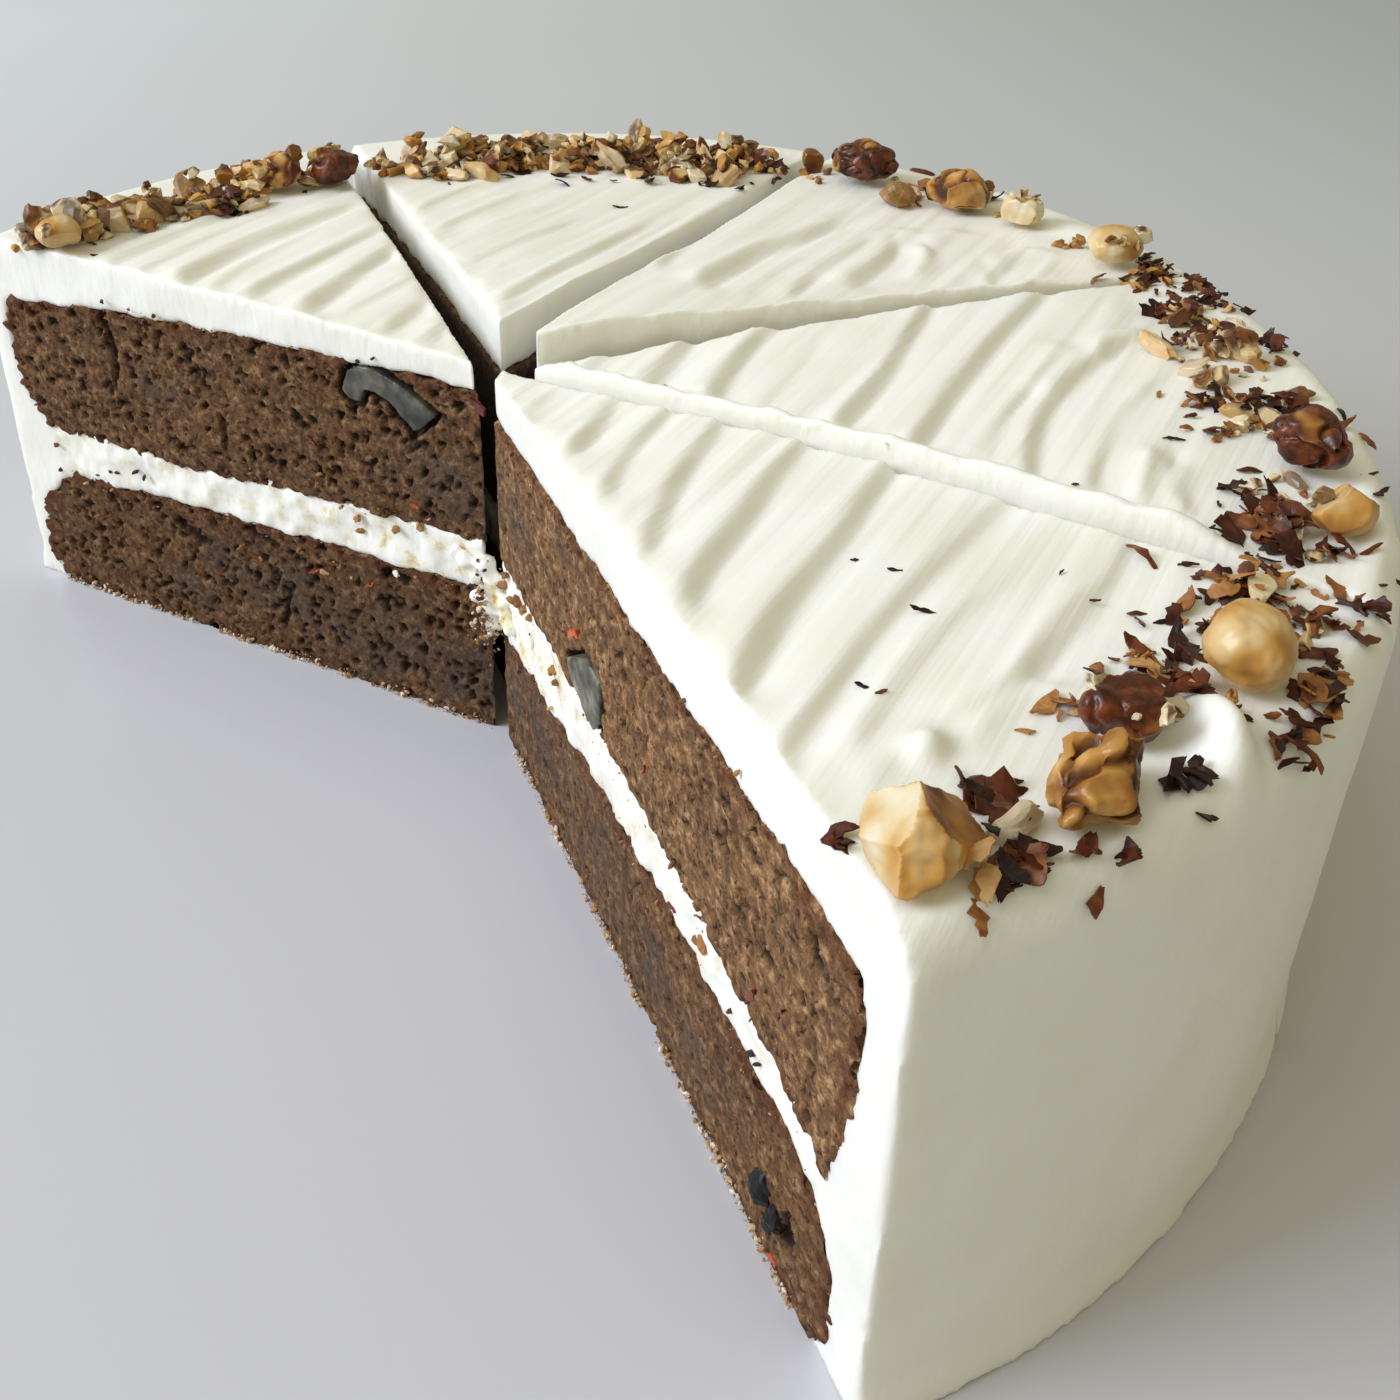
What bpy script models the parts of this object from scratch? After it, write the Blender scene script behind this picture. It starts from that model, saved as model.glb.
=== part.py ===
"""Carrot cake: five slices of a round that was cut in eight.

Each slice is two layers of sponge with a cream filling between them, under a coat of frosting
that runs over the top and down the side. The top was combed with a spatula, the knife raised
a bead along some cuts, and walnut pieces lie round the rim and show in the two open cuts.
The origin is the centre of the round, on the surface that the cake stands on.
"""
import math
from collections import namedtuple

import bmesh
import bpy
from mathutils import Matrix, Vector, noise

# Driving dimensions, in metres and degrees
BASE_RADIUS = 0.110
SHOULDER_RADIUS = 0.1066
RIM_ROUNDING = 0.0052
TOP_HEIGHT = 0.0664
SPONGE_WAIST = 0.0980
GAP = 0.0003

# A spatula drawn across the top in one direction left waves, wider towards the right
COMB_BEARING = 62.5
COMB_PITCH = 0.0088
COMB_SPREAD = 0.018
COMB_DEPTH = 0.0019
COMB_LIFT = ((0.0, 0.0), (0.42, 0.62), (0.74, 1.0))
COMB_REACH = 0.126
COMB_STEPS = 18
BAND_INNER = 0.084
BAND_OUTER = 0.092
TIP_SAG_REACH = 0.026

TURN_STEPS = 80
CORE_RADIUS = 0.094
RAYS = 5
RINGS = 4
# The sponges' outer walls, from the underside up: (share of the height, inset), None at the waist
LOWER_WALL = ((0.0, 0.0024), (0.22, 0.0), (0.72, 0.0008), (1.0, None))
UPPER_WALL = ((0.0, None), (0.25, 0.0010), (0.80, 0.0), (1.0, 0.0010))
CEILING_SHARES = (1.0, 0.82, 0.64, 0.45, 0.25, 0.0)

# Each slice: the ends and bearings of its two cuts, and how its frosting rises at the tip
Slice = namedtuple("Slice", "name left_tip right_tip left_bearing right_bearing tip_rise")
SLICES = (
    Slice("1", (-0.0118, 0.0006), (-0.0112, 0.0009), 157.5, 116.2, -0.0012),
    Slice("2", (-0.0094, 0.0076), (-0.0086, 0.0074), 116.5, 61.5, 0.0020),
    Slice("3", (-0.0041, 0.0050), (-0.0029, 0.0036), 63.0, 20.8, 0.0018),
    Slice("4", (-0.0038, 0.0022), (-0.0036, 0.0009), 21.0, -27.5, -0.0020),
    Slice("5", (-0.0078, 0.0026), (-0.0088, -0.0020), -27.5, -63.8, -0.0027),
)

# Each slice's layers: the tops of the lower sponge and of the filling from the middle to the
# outside, the upper sponge's top in the middle with how far it falls away, and both radii
Layers = namedtuple("Layers", "lower filling upper crown upper_radius lower_radius")
LAYERS = {
    "1": Layers((0.0262, 0.0258, 0.0248, 0.0234, 0.0222), (0.0366, 0.0360, 0.0336, 0.0336, 0.0336),
                0.0600, 0.0038, 0.1027, 0.1048),
    "2": Layers((0.0250, 0.0250, 0.0246, 0.0234, 0.0222), (0.0360, 0.0356, 0.0340, 0.0334, 0.0334),
                0.0595, 0.0028, 0.1023, 0.1042),
    "3": Layers((0.0236, 0.0242, 0.0244, 0.0232, 0.0218), (0.0356, 0.0352, 0.0342, 0.0330, 0.0328),
                0.0590, 0.0020, 0.1020, 0.1035),
    "4": Layers((0.0212, 0.0232, 0.0244, 0.0230, 0.0208), (0.0356, 0.0350, 0.0340, 0.0312, 0.0300),
                0.0578, 0.0012, 0.1015, 0.1028),
    "5": Layers((0.0190, 0.0226, 0.0246, 0.0226, 0.0196), (0.0356, 0.0338, 0.0334, 0.0292, 0.0270),
                0.0570, 0.0008, 0.1008, 0.1020),
}
LAYER_RADII = (0.0, 0.031, 0.063, 0.094, 0.098)

Bead = namedtuple("Bead", "radius start length height")
BEADS = {
    "3": Bead(0.0017, 0.004, 0.084, 0.0000),
    "4": Bead(0.0021, 0.004, 0.086, 0.0006),
}

Chunk = namedtuple("Chunk", "name at size turn tilt seed kind")
RIM_WALNUTS = (
    Chunk("rim_walnut_01", (0.0402, -0.0895), (0.0108, 0.0095, 0.0085), 20, 12, 3, "kernel"),
    Chunk("rim_walnut_02", (0.0556, -0.0826), (0.0135, 0.0098, 0.0082), 40, 6, 11, "kernel"),
    Chunk("rim_walnut_03", (0.0606, -0.0722), (0.0085, 0.0068, 0.0072), 35, 18, 7, "skin"),
    Chunk("rim_walnut_04", (0.0744, -0.0627), (0.0100, 0.0092, 0.0084), 60, 0, 19, "kernel"),
    Chunk("rim_walnut_05", (0.0925, -0.0360), (0.0078, 0.0068, 0.0062), 70, 10, 23, "kernel"),
    Chunk("rim_walnut_06", (0.0929, -0.0210), (0.0105, 0.0092, 0.0082), 95, 8, 31, "skin"),
    Chunk("rim_walnut_07", (0.0824, 0.0428), (0.0100, 0.0088, 0.0064), 30, 0, 37, "kernel"),
    Chunk("rim_walnut_08", (0.0715, 0.0586), (0.0080, 0.0068, 0.0056), 15, 14, 41, "kernel"),
    Chunk("rim_walnut_09", (0.0613, 0.0650), (0.0120, 0.0095, 0.0080), -25, 10, 43, "kernel"),
    Chunk("rim_walnut_10", (0.0465, 0.0780), (0.0132, 0.0102, 0.0080), -10, 8, 47, "skin"),
    Chunk("rim_walnut_11", (-0.0480, 0.0672), (0.0102, 0.0075, 0.0066), 60, 12, 53, "skin"),
    Chunk("rim_walnut_12", (-0.0565, 0.0628), (0.0092, 0.0076, 0.0066), 55, 6, 59, "kernel"),
    Chunk("rim_walnut_13", (-0.0815, 0.0318), (0.0078, 0.0068, 0.0056), 70, 0, 61, "kernel"),
)
CHUNK_SINK = 0.22

BakedIn = namedtuple("BakedIn", "name slice_index along height size tilt seed")
BAKED_WALNUTS = (
    BakedIn("baked_walnut_left", 0, 0.0150, 0.0543, (0.0175, 0.0070, 0.0062), 12, 5),
    BakedIn("baked_walnut_right", 4, 0.0365, 0.0400, (0.0108, 0.0060, 0.0104), 40, 9),
)


def clear_scene():
    """Start from an empty scene."""
    for thing in list(bpy.data.objects):
        bpy.data.objects.remove(thing, do_unlink=True)


def new_collection(name):
    """A collection linked to the scene."""
    made = bpy.data.collections.new(name)
    bpy.context.scene.collection.children.link(made)
    return made


def new_material(name, colour, roughness):
    """A food surface: its colour and roughness, never metallic."""
    made = bpy.data.materials.new(name)
    made.use_nodes = True
    shader = made.node_tree.nodes["Principled BSDF"]
    shader.inputs["Base Color"].default_value = (*colour, 1.0)
    shader.inputs["Roughness"].default_value = roughness
    shader.inputs["Metallic"].default_value = 0.0
    return made


def new_object(name, shape, home, surface):
    """Turn a bmesh into a named object in its collection."""
    mesh = bpy.data.meshes.new(name)
    shape.to_mesh(mesh)
    shape.free()
    made = bpy.data.objects.new(name, mesh)
    if surface:
        mesh.materials.append(surface)
    home.objects.link(made)
    return made


def set_as_cutter(thing):
    """A cutter shows as wire and isn't part of the cake."""
    thing.display_type = "WIRE"
    thing.hide_render = True


def heading(bearing):
    """The unit vector at a bearing, counted from +X towards +Y."""
    return Vector((math.cos(math.radians(bearing)), math.sin(math.radians(bearing))))


def reach(start, bearing, radius):
    """How far it is from a point inside the round to its circle, along a bearing."""
    along = start.dot(heading(bearing))
    return -along + math.sqrt(along * along + radius * radius - start.length_squared)


def place_in_slice(piece, across, ring, radius):
    """A plan point of a slice: across from the right cut to the left, ring from tip to side."""
    start = Vector(piece.right_tip).lerp(Vector(piece.left_tip), across)
    bearing = piece.right_bearing + (piece.left_bearing - piece.right_bearing) * across
    if ring > RINGS - 1:
        return start + heading(bearing) * reach(start, bearing, radius)
    inner = reach(start, bearing, CORE_RADIUS)
    return start + heading(bearing) * inner * ring / (RINGS - 1)


def gentle(point, scale, depth, seed):
    """A slow unevenness, as a hand-filled layer has."""
    return depth * noise.noise(Vector((point.x / scale, point.y / scale, seed)))


def layer_height(levels, point):
    """A layer's height at a plan point, from its levels at LAYER_RADII."""
    radius = min(point.length, LAYER_RADII[-1])
    uneven = gentle(point, 0.03, 0.0014, levels[0] * 1000.0) * (1.0 - radius / LAYER_RADII[-1])
    for inner, outer, low, high in zip(LAYER_RADII, LAYER_RADII[1:], levels, levels[1:]):
        if radius <= outer:
            return low + (high - low) * (radius - inner) / (outer - inner) + uneven
    return levels[-1]


def upper_sponge_top(layers, radius):
    """The upper sponge's top: domed, so that it falls away towards the outside."""
    return layers.upper - layers.crown * (radius / CORE_RADIUS) ** 3


def wall_profile(wall, radius):
    """A sponge's outer wall as (share of the height, radius), drawn in to the waist."""
    return [(share, SPONGE_WAIST if inset is None else radius - inset) for share, inset in wall]


def slice_solid(name, piece, floor, top, profile, home, surface):
    """Stack a slice-shaped grid into a solid.

    floor and top give the height at a plan point. profile lists (share of the height, outer
    radius) from the underside up, so that the outer wall can curve.
    """
    shape = bmesh.new()
    bmesh.ops.create_grid(shape, x_segments=RINGS, y_segments=RAYS, size=1.0)
    spots = {}
    for vert in shape.verts:
        ring = round((vert.co.x + 1.0) / 2.0 * RINGS)
        across = (vert.co.y + 1.0) / 2.0
        spots[vert] = (across, ring)
    faces = list(shape.faces)
    for number, (share, radius) in enumerate(profile):
        if number:
            below = {tuple(vert.co): spot for vert, spot in spots.items()}
            grown = bmesh.ops.extrude_face_region(shape, geom=faces)["geom"]
            if number > 1:
                bmesh.ops.delete(shape, geom=faces, context="FACES_ONLY")
            faces = [item for item in grown if isinstance(item, bmesh.types.BMFace)]
            spots = {item: below[tuple(item.co)] for item in grown
                     if isinstance(item, bmesh.types.BMVert)}
        for vert, (across, ring) in spots.items():
            spot = place_in_slice(piece, across, ring, radius)
            low = floor(spot)
            height = low + (top(spot) - low) * share
            vert.co = (spot.x, spot.y, height)
    bmesh.ops.recalc_face_normals(shape, faces=shape.faces)
    return new_object(name, shape, home, surface)


def comb_wave(offset):
    """Wave number at an offset across the combing, so that the pitch grows to the right."""
    return math.log(1.0 + COMB_SPREAD * offset / COMB_PITCH) / COMB_SPREAD


def comb_offset(wave):
    """The offset across the combing where a wave number falls."""
    return COMB_PITCH * (math.exp(COMB_SPREAD * wave) - 1.0) / COMB_SPREAD


def top_height(point, lift, piece):
    """Height of the frosting's top: combed inside the rim band, and sagging at the tip."""
    inside = 1.0 - min(1.0, max(0.0, (point.length - BAND_INNER) / (BAND_OUTER - BAND_INNER)))
    tip = Vector(piece.left_tip).lerp(Vector(piece.right_tip), 0.5)
    near_tip = math.exp(-((point - tip).length / TIP_SAG_REACH) ** 2)
    depth = COMB_DEPTH * (0.75 + 0.5 * noise.noise(Vector((point.x * 30, point.y * 30, 8.0))))
    waves = (lift - 0.55) * depth * inside
    uneven = gentle(point, 0.06, 0.0008, 3.0)
    return TOP_HEIGHT + waves + uneven + piece.tip_rise * near_tip


def combed_block(piece, home):
    """A block whose top is the combed surface, for one slice's frosting to be cut by."""
    first = math.ceil(comb_wave(-COMB_REACH))
    last = math.floor(comb_wave(COMB_REACH))
    lines = [(comb_offset(wave + part), lift)
             for wave in range(first, last + 1) for part, lift in COMB_LIFT]
    along = heading(COMB_BEARING)
    across = heading(COMB_BEARING - 90.0)
    shape = bmesh.new()
    bmesh.ops.create_grid(shape, x_segments=len(lines) - 1, y_segments=COMB_STEPS, size=1.0)
    for vert in shape.verts:
        offset, lift = lines[round((vert.co.x + 1.0) / 2.0 * (len(lines) - 1))]
        run = vert.co.y * COMB_REACH
        bend = 0.0016 * math.sin(run / 0.034 + offset / 0.05)
        point = across * (offset + bend) + along * run
        vert.co = (point.x, point.y, top_height(point, lift, piece))
    grown = bmesh.ops.extrude_face_region(shape, geom=list(shape.faces))["geom"]
    for vert in grown:
        if isinstance(vert, bmesh.types.BMVert):
            vert.co.z = -0.01
    bmesh.ops.recalc_face_normals(shape, faces=shape.faces)
    block = new_object("combed_block_" + piece.name, shape, home, None)
    set_as_cutter(block)
    return block


def wedge(piece, home):
    """A tall prism with a slice's plan, to cut the turned frosting by."""
    corners = []
    for across in (0.0, 1.0):
        start = Vector(piece.right_tip).lerp(Vector(piece.left_tip), across)
        bearing = piece.left_bearing if across else piece.right_bearing
        corners.append((start, start + heading(bearing) * 0.20))
    (right_tip, right_far), (left_tip, left_far) = corners
    shape = bmesh.new()
    ring = [shape.verts.new((*spot, -0.02)) for spot in (right_tip, right_far, left_far, left_tip)]
    base = shape.faces.new(ring)
    grown = bmesh.ops.extrude_face_region(shape, geom=[base])["geom"]
    lifted = [item for item in grown if isinstance(item, bmesh.types.BMVert)]
    bmesh.ops.translate(shape, verts=lifted, vec=(0.0, 0.0, 0.12))
    bmesh.ops.recalc_face_normals(shape, faces=shape.faces)
    cutter = new_object("wedge_" + piece.name, shape, home, None)
    set_as_cutter(cutter)
    return cutter


def coat_profile(layers):
    """Half section of the frosting coat: over the top, down the side, and back up inside."""
    clear = 1.4 * GAP
    open_top = TOP_HEIGHT + 0.007
    points = [(0.0, open_top), (SHOULDER_RADIUS - RIM_ROUNDING - 0.004, open_top - 0.003)]
    middle = Vector((SHOULDER_RADIUS - RIM_ROUNDING, TOP_HEIGHT - RIM_ROUNDING))
    for angle in (85, 62, 40, 18, 0):
        spot = middle + RIM_ROUNDING * heading(angle)
        points.append((spot.x, spot.y))
    points += [(BASE_RADIUS - 0.0012, 0.006), (BASE_RADIUS, 0.0)]
    brim = layers.lower[-1]
    seam = layers.filling[-1]
    roof = upper_sponge_top(layers, layers.upper_radius)
    for share, radius in wall_profile(LOWER_WALL, layers.lower_radius):
        points.append((radius + clear, brim * share))
    for share, radius in wall_profile(UPPER_WALL, layers.upper_radius):
        points.append((radius + clear, seam + (roof - seam) * share))
    points[-1] = (points[-1][0], roof + clear)
    for share in CEILING_SHARES:
        radius = CORE_RADIUS * share
        points.append((radius, upper_sponge_top(layers, radius) + clear))
    return points


def turned_coat(piece, home, surface):
    """A whole round's coat, turned about its axis with a Screw modifier."""
    profile = coat_profile(LAYERS[piece.name])
    shape = bmesh.new()
    verts = [shape.verts.new((radius, 0.0, height)) for radius, height in profile]
    for first, second in zip(verts, verts[1:]):
        shape.edges.new((first, second))
    coat = new_object("frosting_" + piece.name, shape, home, surface)
    turn = coat.modifiers.new("Turn", "SCREW")
    turn.axis = "Z"
    turn.angle = math.tau
    turn.steps = TURN_STEPS
    turn.render_steps = TURN_STEPS
    turn.use_merge_vertices = True
    turn.merge_threshold = 0.00005
    turn.use_smooth_shade = True
    return coat


def add_boolean(thing, operation, other):
    """A Boolean modifier with the exact solver."""
    cut = thing.modifiers.new(operation.title() + " " + other.name, "BOOLEAN")
    cut.operation = operation
    cut.solver = "EXACT"
    cut.object = other


def edge_bead(piece, bead, home):
    """The ridge that the knife raised along a slice's right cut, a tapered tube."""
    line = bpy.data.curves.new("bead_line_" + piece.name, "CURVE")
    line.dimensions = "3D"
    line.bevel_depth = bead.radius
    line.bevel_resolution = 1
    line.use_fill_caps = True
    count = 15
    spline = line.splines.new("POLY")
    spline.points.add(count - 1)
    bearing = piece.right_bearing
    inward = heading(bearing + 90.0)
    start = Vector(piece.right_tip) + inward * (bead.radius * 1.12 + GAP)
    for number, point in enumerate(spline.points):
        share = number / (count - 1)
        spot = start + heading(bearing) * (bead.start + bead.length * share)
        height = top_height(spot, 0.55, piece) + bead.height
        point.co = (spot.x, spot.y, height, 1.0)
        taper = math.sin(math.pi * min(1.0, 0.18 + share * 0.72)) ** 0.5
        point.radius = taper * (1.0 + 0.12 * math.sin(number * 2.4))
    holder = bpy.data.objects.new("bead_line_" + piece.name, line)
    home.objects.link(holder)
    bpy.context.view_layer.update()
    evaluated = holder.evaluated_get(bpy.context.evaluated_depsgraph_get())
    mesh = bpy.data.meshes.new_from_object(evaluated)
    shape = bmesh.new()
    shape.from_mesh(mesh)
    bmesh.ops.remove_doubles(shape, verts=shape.verts, dist=0.00002)
    bmesh.ops.recalc_face_normals(shape, faces=shape.faces)
    bpy.data.objects.remove(holder, do_unlink=True)
    made = new_object("bead_" + piece.name, shape, home, None)
    set_as_cutter(made)
    return made


def make_frosting(piece, home, cutters, surface):
    """One slice's coat: the turned coat, cut to the slice and to the combed top."""
    coat = turned_coat(piece, home, surface)
    add_boolean(coat, "INTERSECT", wedge(piece, cutters))
    add_boolean(coat, "INTERSECT", combed_block(piece, cutters))
    if piece.name in BEADS:
        add_boolean(coat, "UNION", edge_bead(piece, BEADS[piece.name], cutters))
    return coat


def make_layers(piece, home, sponge, cream):
    """A slice's lower sponge, filling and upper sponge, with rounded outer edges."""
    layers = LAYERS[piece.name]
    slice_solid("lower_sponge_" + piece.name, piece, lambda spot: 0.0,
                lambda spot: layer_height(layers.lower, spot),
                wall_profile(LOWER_WALL, layers.lower_radius), home, sponge)
    slice_solid("filling_" + piece.name, piece,
                lambda spot: layer_height(layers.lower, spot) + GAP,
                lambda spot: layer_height(layers.filling, spot) - GAP,
                ((0.0, SPONGE_WAIST), (1.0, SPONGE_WAIST)), home, cream)
    return slice_solid("upper_sponge_" + piece.name, piece,
                       lambda spot: layer_height(layers.filling, spot),
                       lambda spot: upper_sponge_top(layers, spot.length),
                       wall_profile(UPPER_WALL, layers.upper_radius), home, sponge)


def chunk_shape(size, seed):
    """A broken piece of walnut kernel: a lobed lump, chopped flat by a few planes."""
    shape = bmesh.new()
    bmesh.ops.create_icosphere(shape, subdivisions=2, radius=0.5)
    for vert in shape.verts:
        lobes = noise.noise(vert.co * 2.6 + Vector((seed, 0.0, 0.0)))
        vert.co *= 1.0 + 0.42 * lobes
    for number in range(2):
        turn = seed * 1.7 + number * 2.3
        normal = Vector((math.cos(turn), math.sin(turn), 0.35 * math.sin(turn * 2.1)))
        spot = normal * 0.33
        cut = bmesh.ops.bisect_plane(shape, geom=shape.verts[:] + shape.edges[:] + shape.faces[:],
                                     plane_co=spot, plane_no=normal, clear_outer=True)
        edges = [item for item in cut["geom_cut"] if isinstance(item, bmesh.types.BMEdge)]
        bmesh.ops.contextual_create(shape, geom=edges)
    low = Vector([min(vert.co[axis] for vert in shape.verts) for axis in range(3)])
    high = Vector([max(vert.co[axis] for vert in shape.verts) for axis in range(3)])
    for vert in shape.verts:
        for axis in range(3):
            share = (vert.co[axis] - low[axis]) / (high[axis] - low[axis]) - 0.5
            vert.co[axis] = share * size[axis]
    return shape


def make_rim_walnut(chunk, home, surfaces):
    """A walnut piece pressed on the rim band: tilted, and flat where it rests."""
    shape = chunk_shape(chunk.size, chunk.seed)
    turn = Matrix.Rotation(math.radians(chunk.turn), 3, "Z")
    tilt = Matrix.Rotation(math.radians(chunk.tilt), 3, "X")
    bmesh.ops.rotate(shape, verts=shape.verts, matrix=turn @ tilt)
    low = min(vert.co.z for vert in shape.verts)
    high = max(vert.co.z for vert in shape.verts)
    bed = low + (high - low) * CHUNK_SINK
    cut = bmesh.ops.bisect_plane(shape, geom=shape.verts[:] + shape.edges[:] + shape.faces[:],
                                 plane_co=(0.0, 0.0, bed), plane_no=(0.0, 0.0, -1.0),
                                 clear_outer=True)
    edges = [item for item in cut["geom_cut"] if isinstance(item, bmesh.types.BMEdge)]
    bmesh.ops.contextual_create(shape, geom=edges)
    spot = Vector(chunk.at)
    rest = TOP_HEIGHT + 0.0008
    bmesh.ops.translate(shape, verts=shape.verts, vec=(spot.x, spot.y, rest + GAP - bed))
    bmesh.ops.recalc_face_normals(shape, faces=shape.faces)
    return new_object(chunk.name, shape, home, surfaces[chunk.kind])


def make_baked_walnut(baked, sponge_object, home, cutters, surface):
    """A walnut piece baked into the upper sponge, cut flush by the knife, in its own pocket."""
    piece = SLICES[baked.slice_index]
    leftmost = baked.slice_index == 0
    bearing = piece.left_bearing if leftmost else piece.right_bearing
    start = Vector(piece.left_tip if leftmost else piece.right_tip)
    spot = start + heading(bearing) * baked.along
    place = Matrix.Translation((spot.x, spot.y, baked.height))
    lean = Matrix.Rotation(math.radians(bearing), 4, "Z")
    roll = Matrix.Rotation(math.radians(baked.tilt), 4, "Y")
    for name, grow, surface_used in ((baked.name, 0.0, surface), ("pocket", GAP, None)):
        size = [side + 2.0 * grow for side in baked.size]
        shape = chunk_shape(size, baked.seed)
        bmesh.ops.transform(shape, matrix=place @ lean @ roll, verts=shape.verts)
        if surface_used:
            outward = heading(bearing + (90.0 if leftmost else -90.0))
            cut = bmesh.ops.bisect_plane(
                shape, geom=shape.verts[:] + shape.edges[:] + shape.faces[:],
                plane_co=(*spot, 0.0), plane_no=(*outward, 0.0), clear_outer=True)
            edges = [item for item in cut["geom_cut"] if isinstance(item, bmesh.types.BMEdge)]
            bmesh.ops.contextual_create(shape, geom=edges)
        bmesh.ops.recalc_face_normals(shape, faces=shape.faces)
        made = new_object(name, shape, home if surface_used else cutters, surface_used)
        if not surface_used:
            made.name = "pocket_" + baked.name
            set_as_cutter(made)
            add_boolean(sponge_object, "DIFFERENCE", made)


def build_cake():
    """The whole cake, slice by slice, then its walnuts."""
    clear_scene()
    cake = new_collection("carrot_cake")
    cutters = new_collection("carrot_cake_cutters")
    sponge = new_material("carrot_sponge", (0.195, 0.105, 0.058), 0.95)
    cream = new_material("cream_frosting", (0.86, 0.86, 0.79), 0.45)
    kernel = new_material("walnut_kernel", (0.56, 0.34, 0.13), 0.5)
    skin = new_material("walnut_skin", (0.18, 0.062, 0.028), 0.5)
    baked = new_material("baked_walnut", (0.17, 0.17, 0.165), 0.55)
    uppers = []
    for piece in SLICES:
        uppers.append(make_layers(piece, cake, sponge, cream))
        make_frosting(piece, cake, cutters, cream)
    for walnut in BAKED_WALNUTS:
        make_baked_walnut(walnut, uppers[walnut.slice_index], cake, cutters, baked)
    for chunk in RIM_WALNUTS:
        make_rim_walnut(chunk, cake, {"kernel": kernel, "skin": skin})


build_cake()
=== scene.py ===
"""Carrot cake: five slices of a frosted two-layer round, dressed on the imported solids."""
import math
import random

import bpy
import numpy as np
from mathutils import Matrix, Vector, kdtree, noise
from mathutils.bvhtree import BVHTree


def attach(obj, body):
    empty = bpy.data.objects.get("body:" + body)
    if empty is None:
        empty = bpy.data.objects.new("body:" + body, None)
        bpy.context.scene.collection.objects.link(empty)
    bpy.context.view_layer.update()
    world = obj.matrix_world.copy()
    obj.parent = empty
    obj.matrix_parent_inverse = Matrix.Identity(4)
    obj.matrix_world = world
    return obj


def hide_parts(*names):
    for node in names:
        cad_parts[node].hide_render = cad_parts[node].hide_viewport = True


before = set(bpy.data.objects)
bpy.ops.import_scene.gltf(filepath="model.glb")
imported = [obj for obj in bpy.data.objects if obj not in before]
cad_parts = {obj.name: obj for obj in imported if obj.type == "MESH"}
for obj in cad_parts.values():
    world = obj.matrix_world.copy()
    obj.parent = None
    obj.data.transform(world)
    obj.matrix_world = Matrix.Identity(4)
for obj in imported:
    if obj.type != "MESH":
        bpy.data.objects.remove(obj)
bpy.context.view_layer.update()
bpy.ops.object.select_all(action="DESELECT")

# Sponge
# Two layers of baked carrot sponge in every slice, brown, open and moist. Each is a copy of its
# solid on a fine grid; the knife's faces stand back a little and are opened by the crumb's pores.
MM = 0.001
CUTS = {
    "1": {"left": (-11.8, 0.6, 157.5), "right": (-11.2, 0.9, 116.2)},
    "2": {"left": (-9.4, 7.6, 116.5), "right": (-8.6, 7.4, 61.5)},
    "3": {"left": (-4.1, 5.0, 63.0), "right": (-2.9, 3.6, 20.8)},
    "4": {"left": (-3.8, 2.2, 21.0), "right": (-3.6, 0.9, -27.5)},
    "5": {"left": (-7.8, 2.6, -27.5), "right": (-8.8, -2.0, -63.8)},
}
OPEN_CUTS = {"1": "left", "5": "right"}


def remesh(piece, grid):
    """Rebuild the active piece on an even grid, which merges whatever overlaps in it."""
    fine = piece.modifiers.new("Fine grid", "REMESH")
    fine.mode = "VOXEL"
    fine.voxel_size = grid
    fine.use_smooth_shade = True
    bpy.ops.object.modifier_apply(modifier=fine.name)


def even_out(piece, rounds):
    """Smooth the active piece a little, a number of times over."""
    even = piece.modifiers.new("Even out", "SMOOTH")
    even.factor = 0.5
    even.iterations = rounds
    bpy.ops.object.modifier_apply(modifier=even.name)


def copy_solids(names, piece_name, swell, grid):
    """Copy solids into one merged piece, swell it, and remesh it on a fine grid."""
    bpy.ops.object.select_all(action="DESELECT")
    for name in names:
        copied = bpy.data.objects.new(piece_name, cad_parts[name].data.copy())
        copied.data.materials.clear()
        bpy.context.scene.collection.objects.link(copied)
        copied.select_set(True)
        bpy.context.view_layer.objects.active = copied
    if len(names) > 1:
        bpy.ops.object.join()
    piece = bpy.context.view_layer.objects.active
    piece.name = piece_name
    bpy.ops.object.mode_set(mode="EDIT")
    bpy.ops.mesh.select_all(action="SELECT")
    bpy.ops.mesh.remove_doubles(threshold=0.000002)
    if swell:
        bpy.ops.transform.shrink_fatten(value=swell)
    bpy.ops.object.mode_set(mode="OBJECT")
    remesh(piece, grid)
    return piece


def read_points(piece):
    """A piece's points and their normals, in millimetres."""
    count = len(piece.data.vertices)
    points = np.empty(count * 3)
    normals = np.empty(count * 3)
    piece.data.vertices.foreach_get("co", points)
    piece.data.vertices.foreach_get("normal", normals)
    return points.reshape(-1, 3) / MM, normals.reshape(-1, 3)


def write_points(piece, points):
    """Put a piece's points back, from millimetres."""
    piece.data.vertices.foreach_set("co", (points * MM).ravel())
    piece.data.update()


def grain(points, size, seed=0.0, stretch=(1.0, 1.0, 1.0)):
    """Smooth random values, -1 to 1, whose lumps are about size millimetres across."""
    scaled = points / (size * np.array(stretch)) + seed
    return np.array([noise.noise(Vector(point)) for point in scaled])


def soft_step(values, low, high):
    """0 below low, 1 above high, and smooth between."""
    share = np.clip((values - low) / (high - low), 0.0, 1.0)
    return share * share * (3.0 - 2.0 * share)


def between(values, rise_from, rise_to, fall_from, fall_to):
    """1 within a stretch, 0 outside it, and smooth at both of its ends."""
    return soft_step(values, rise_from, rise_to) * (1.0 - soft_step(values, fall_from, fall_to))


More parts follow.
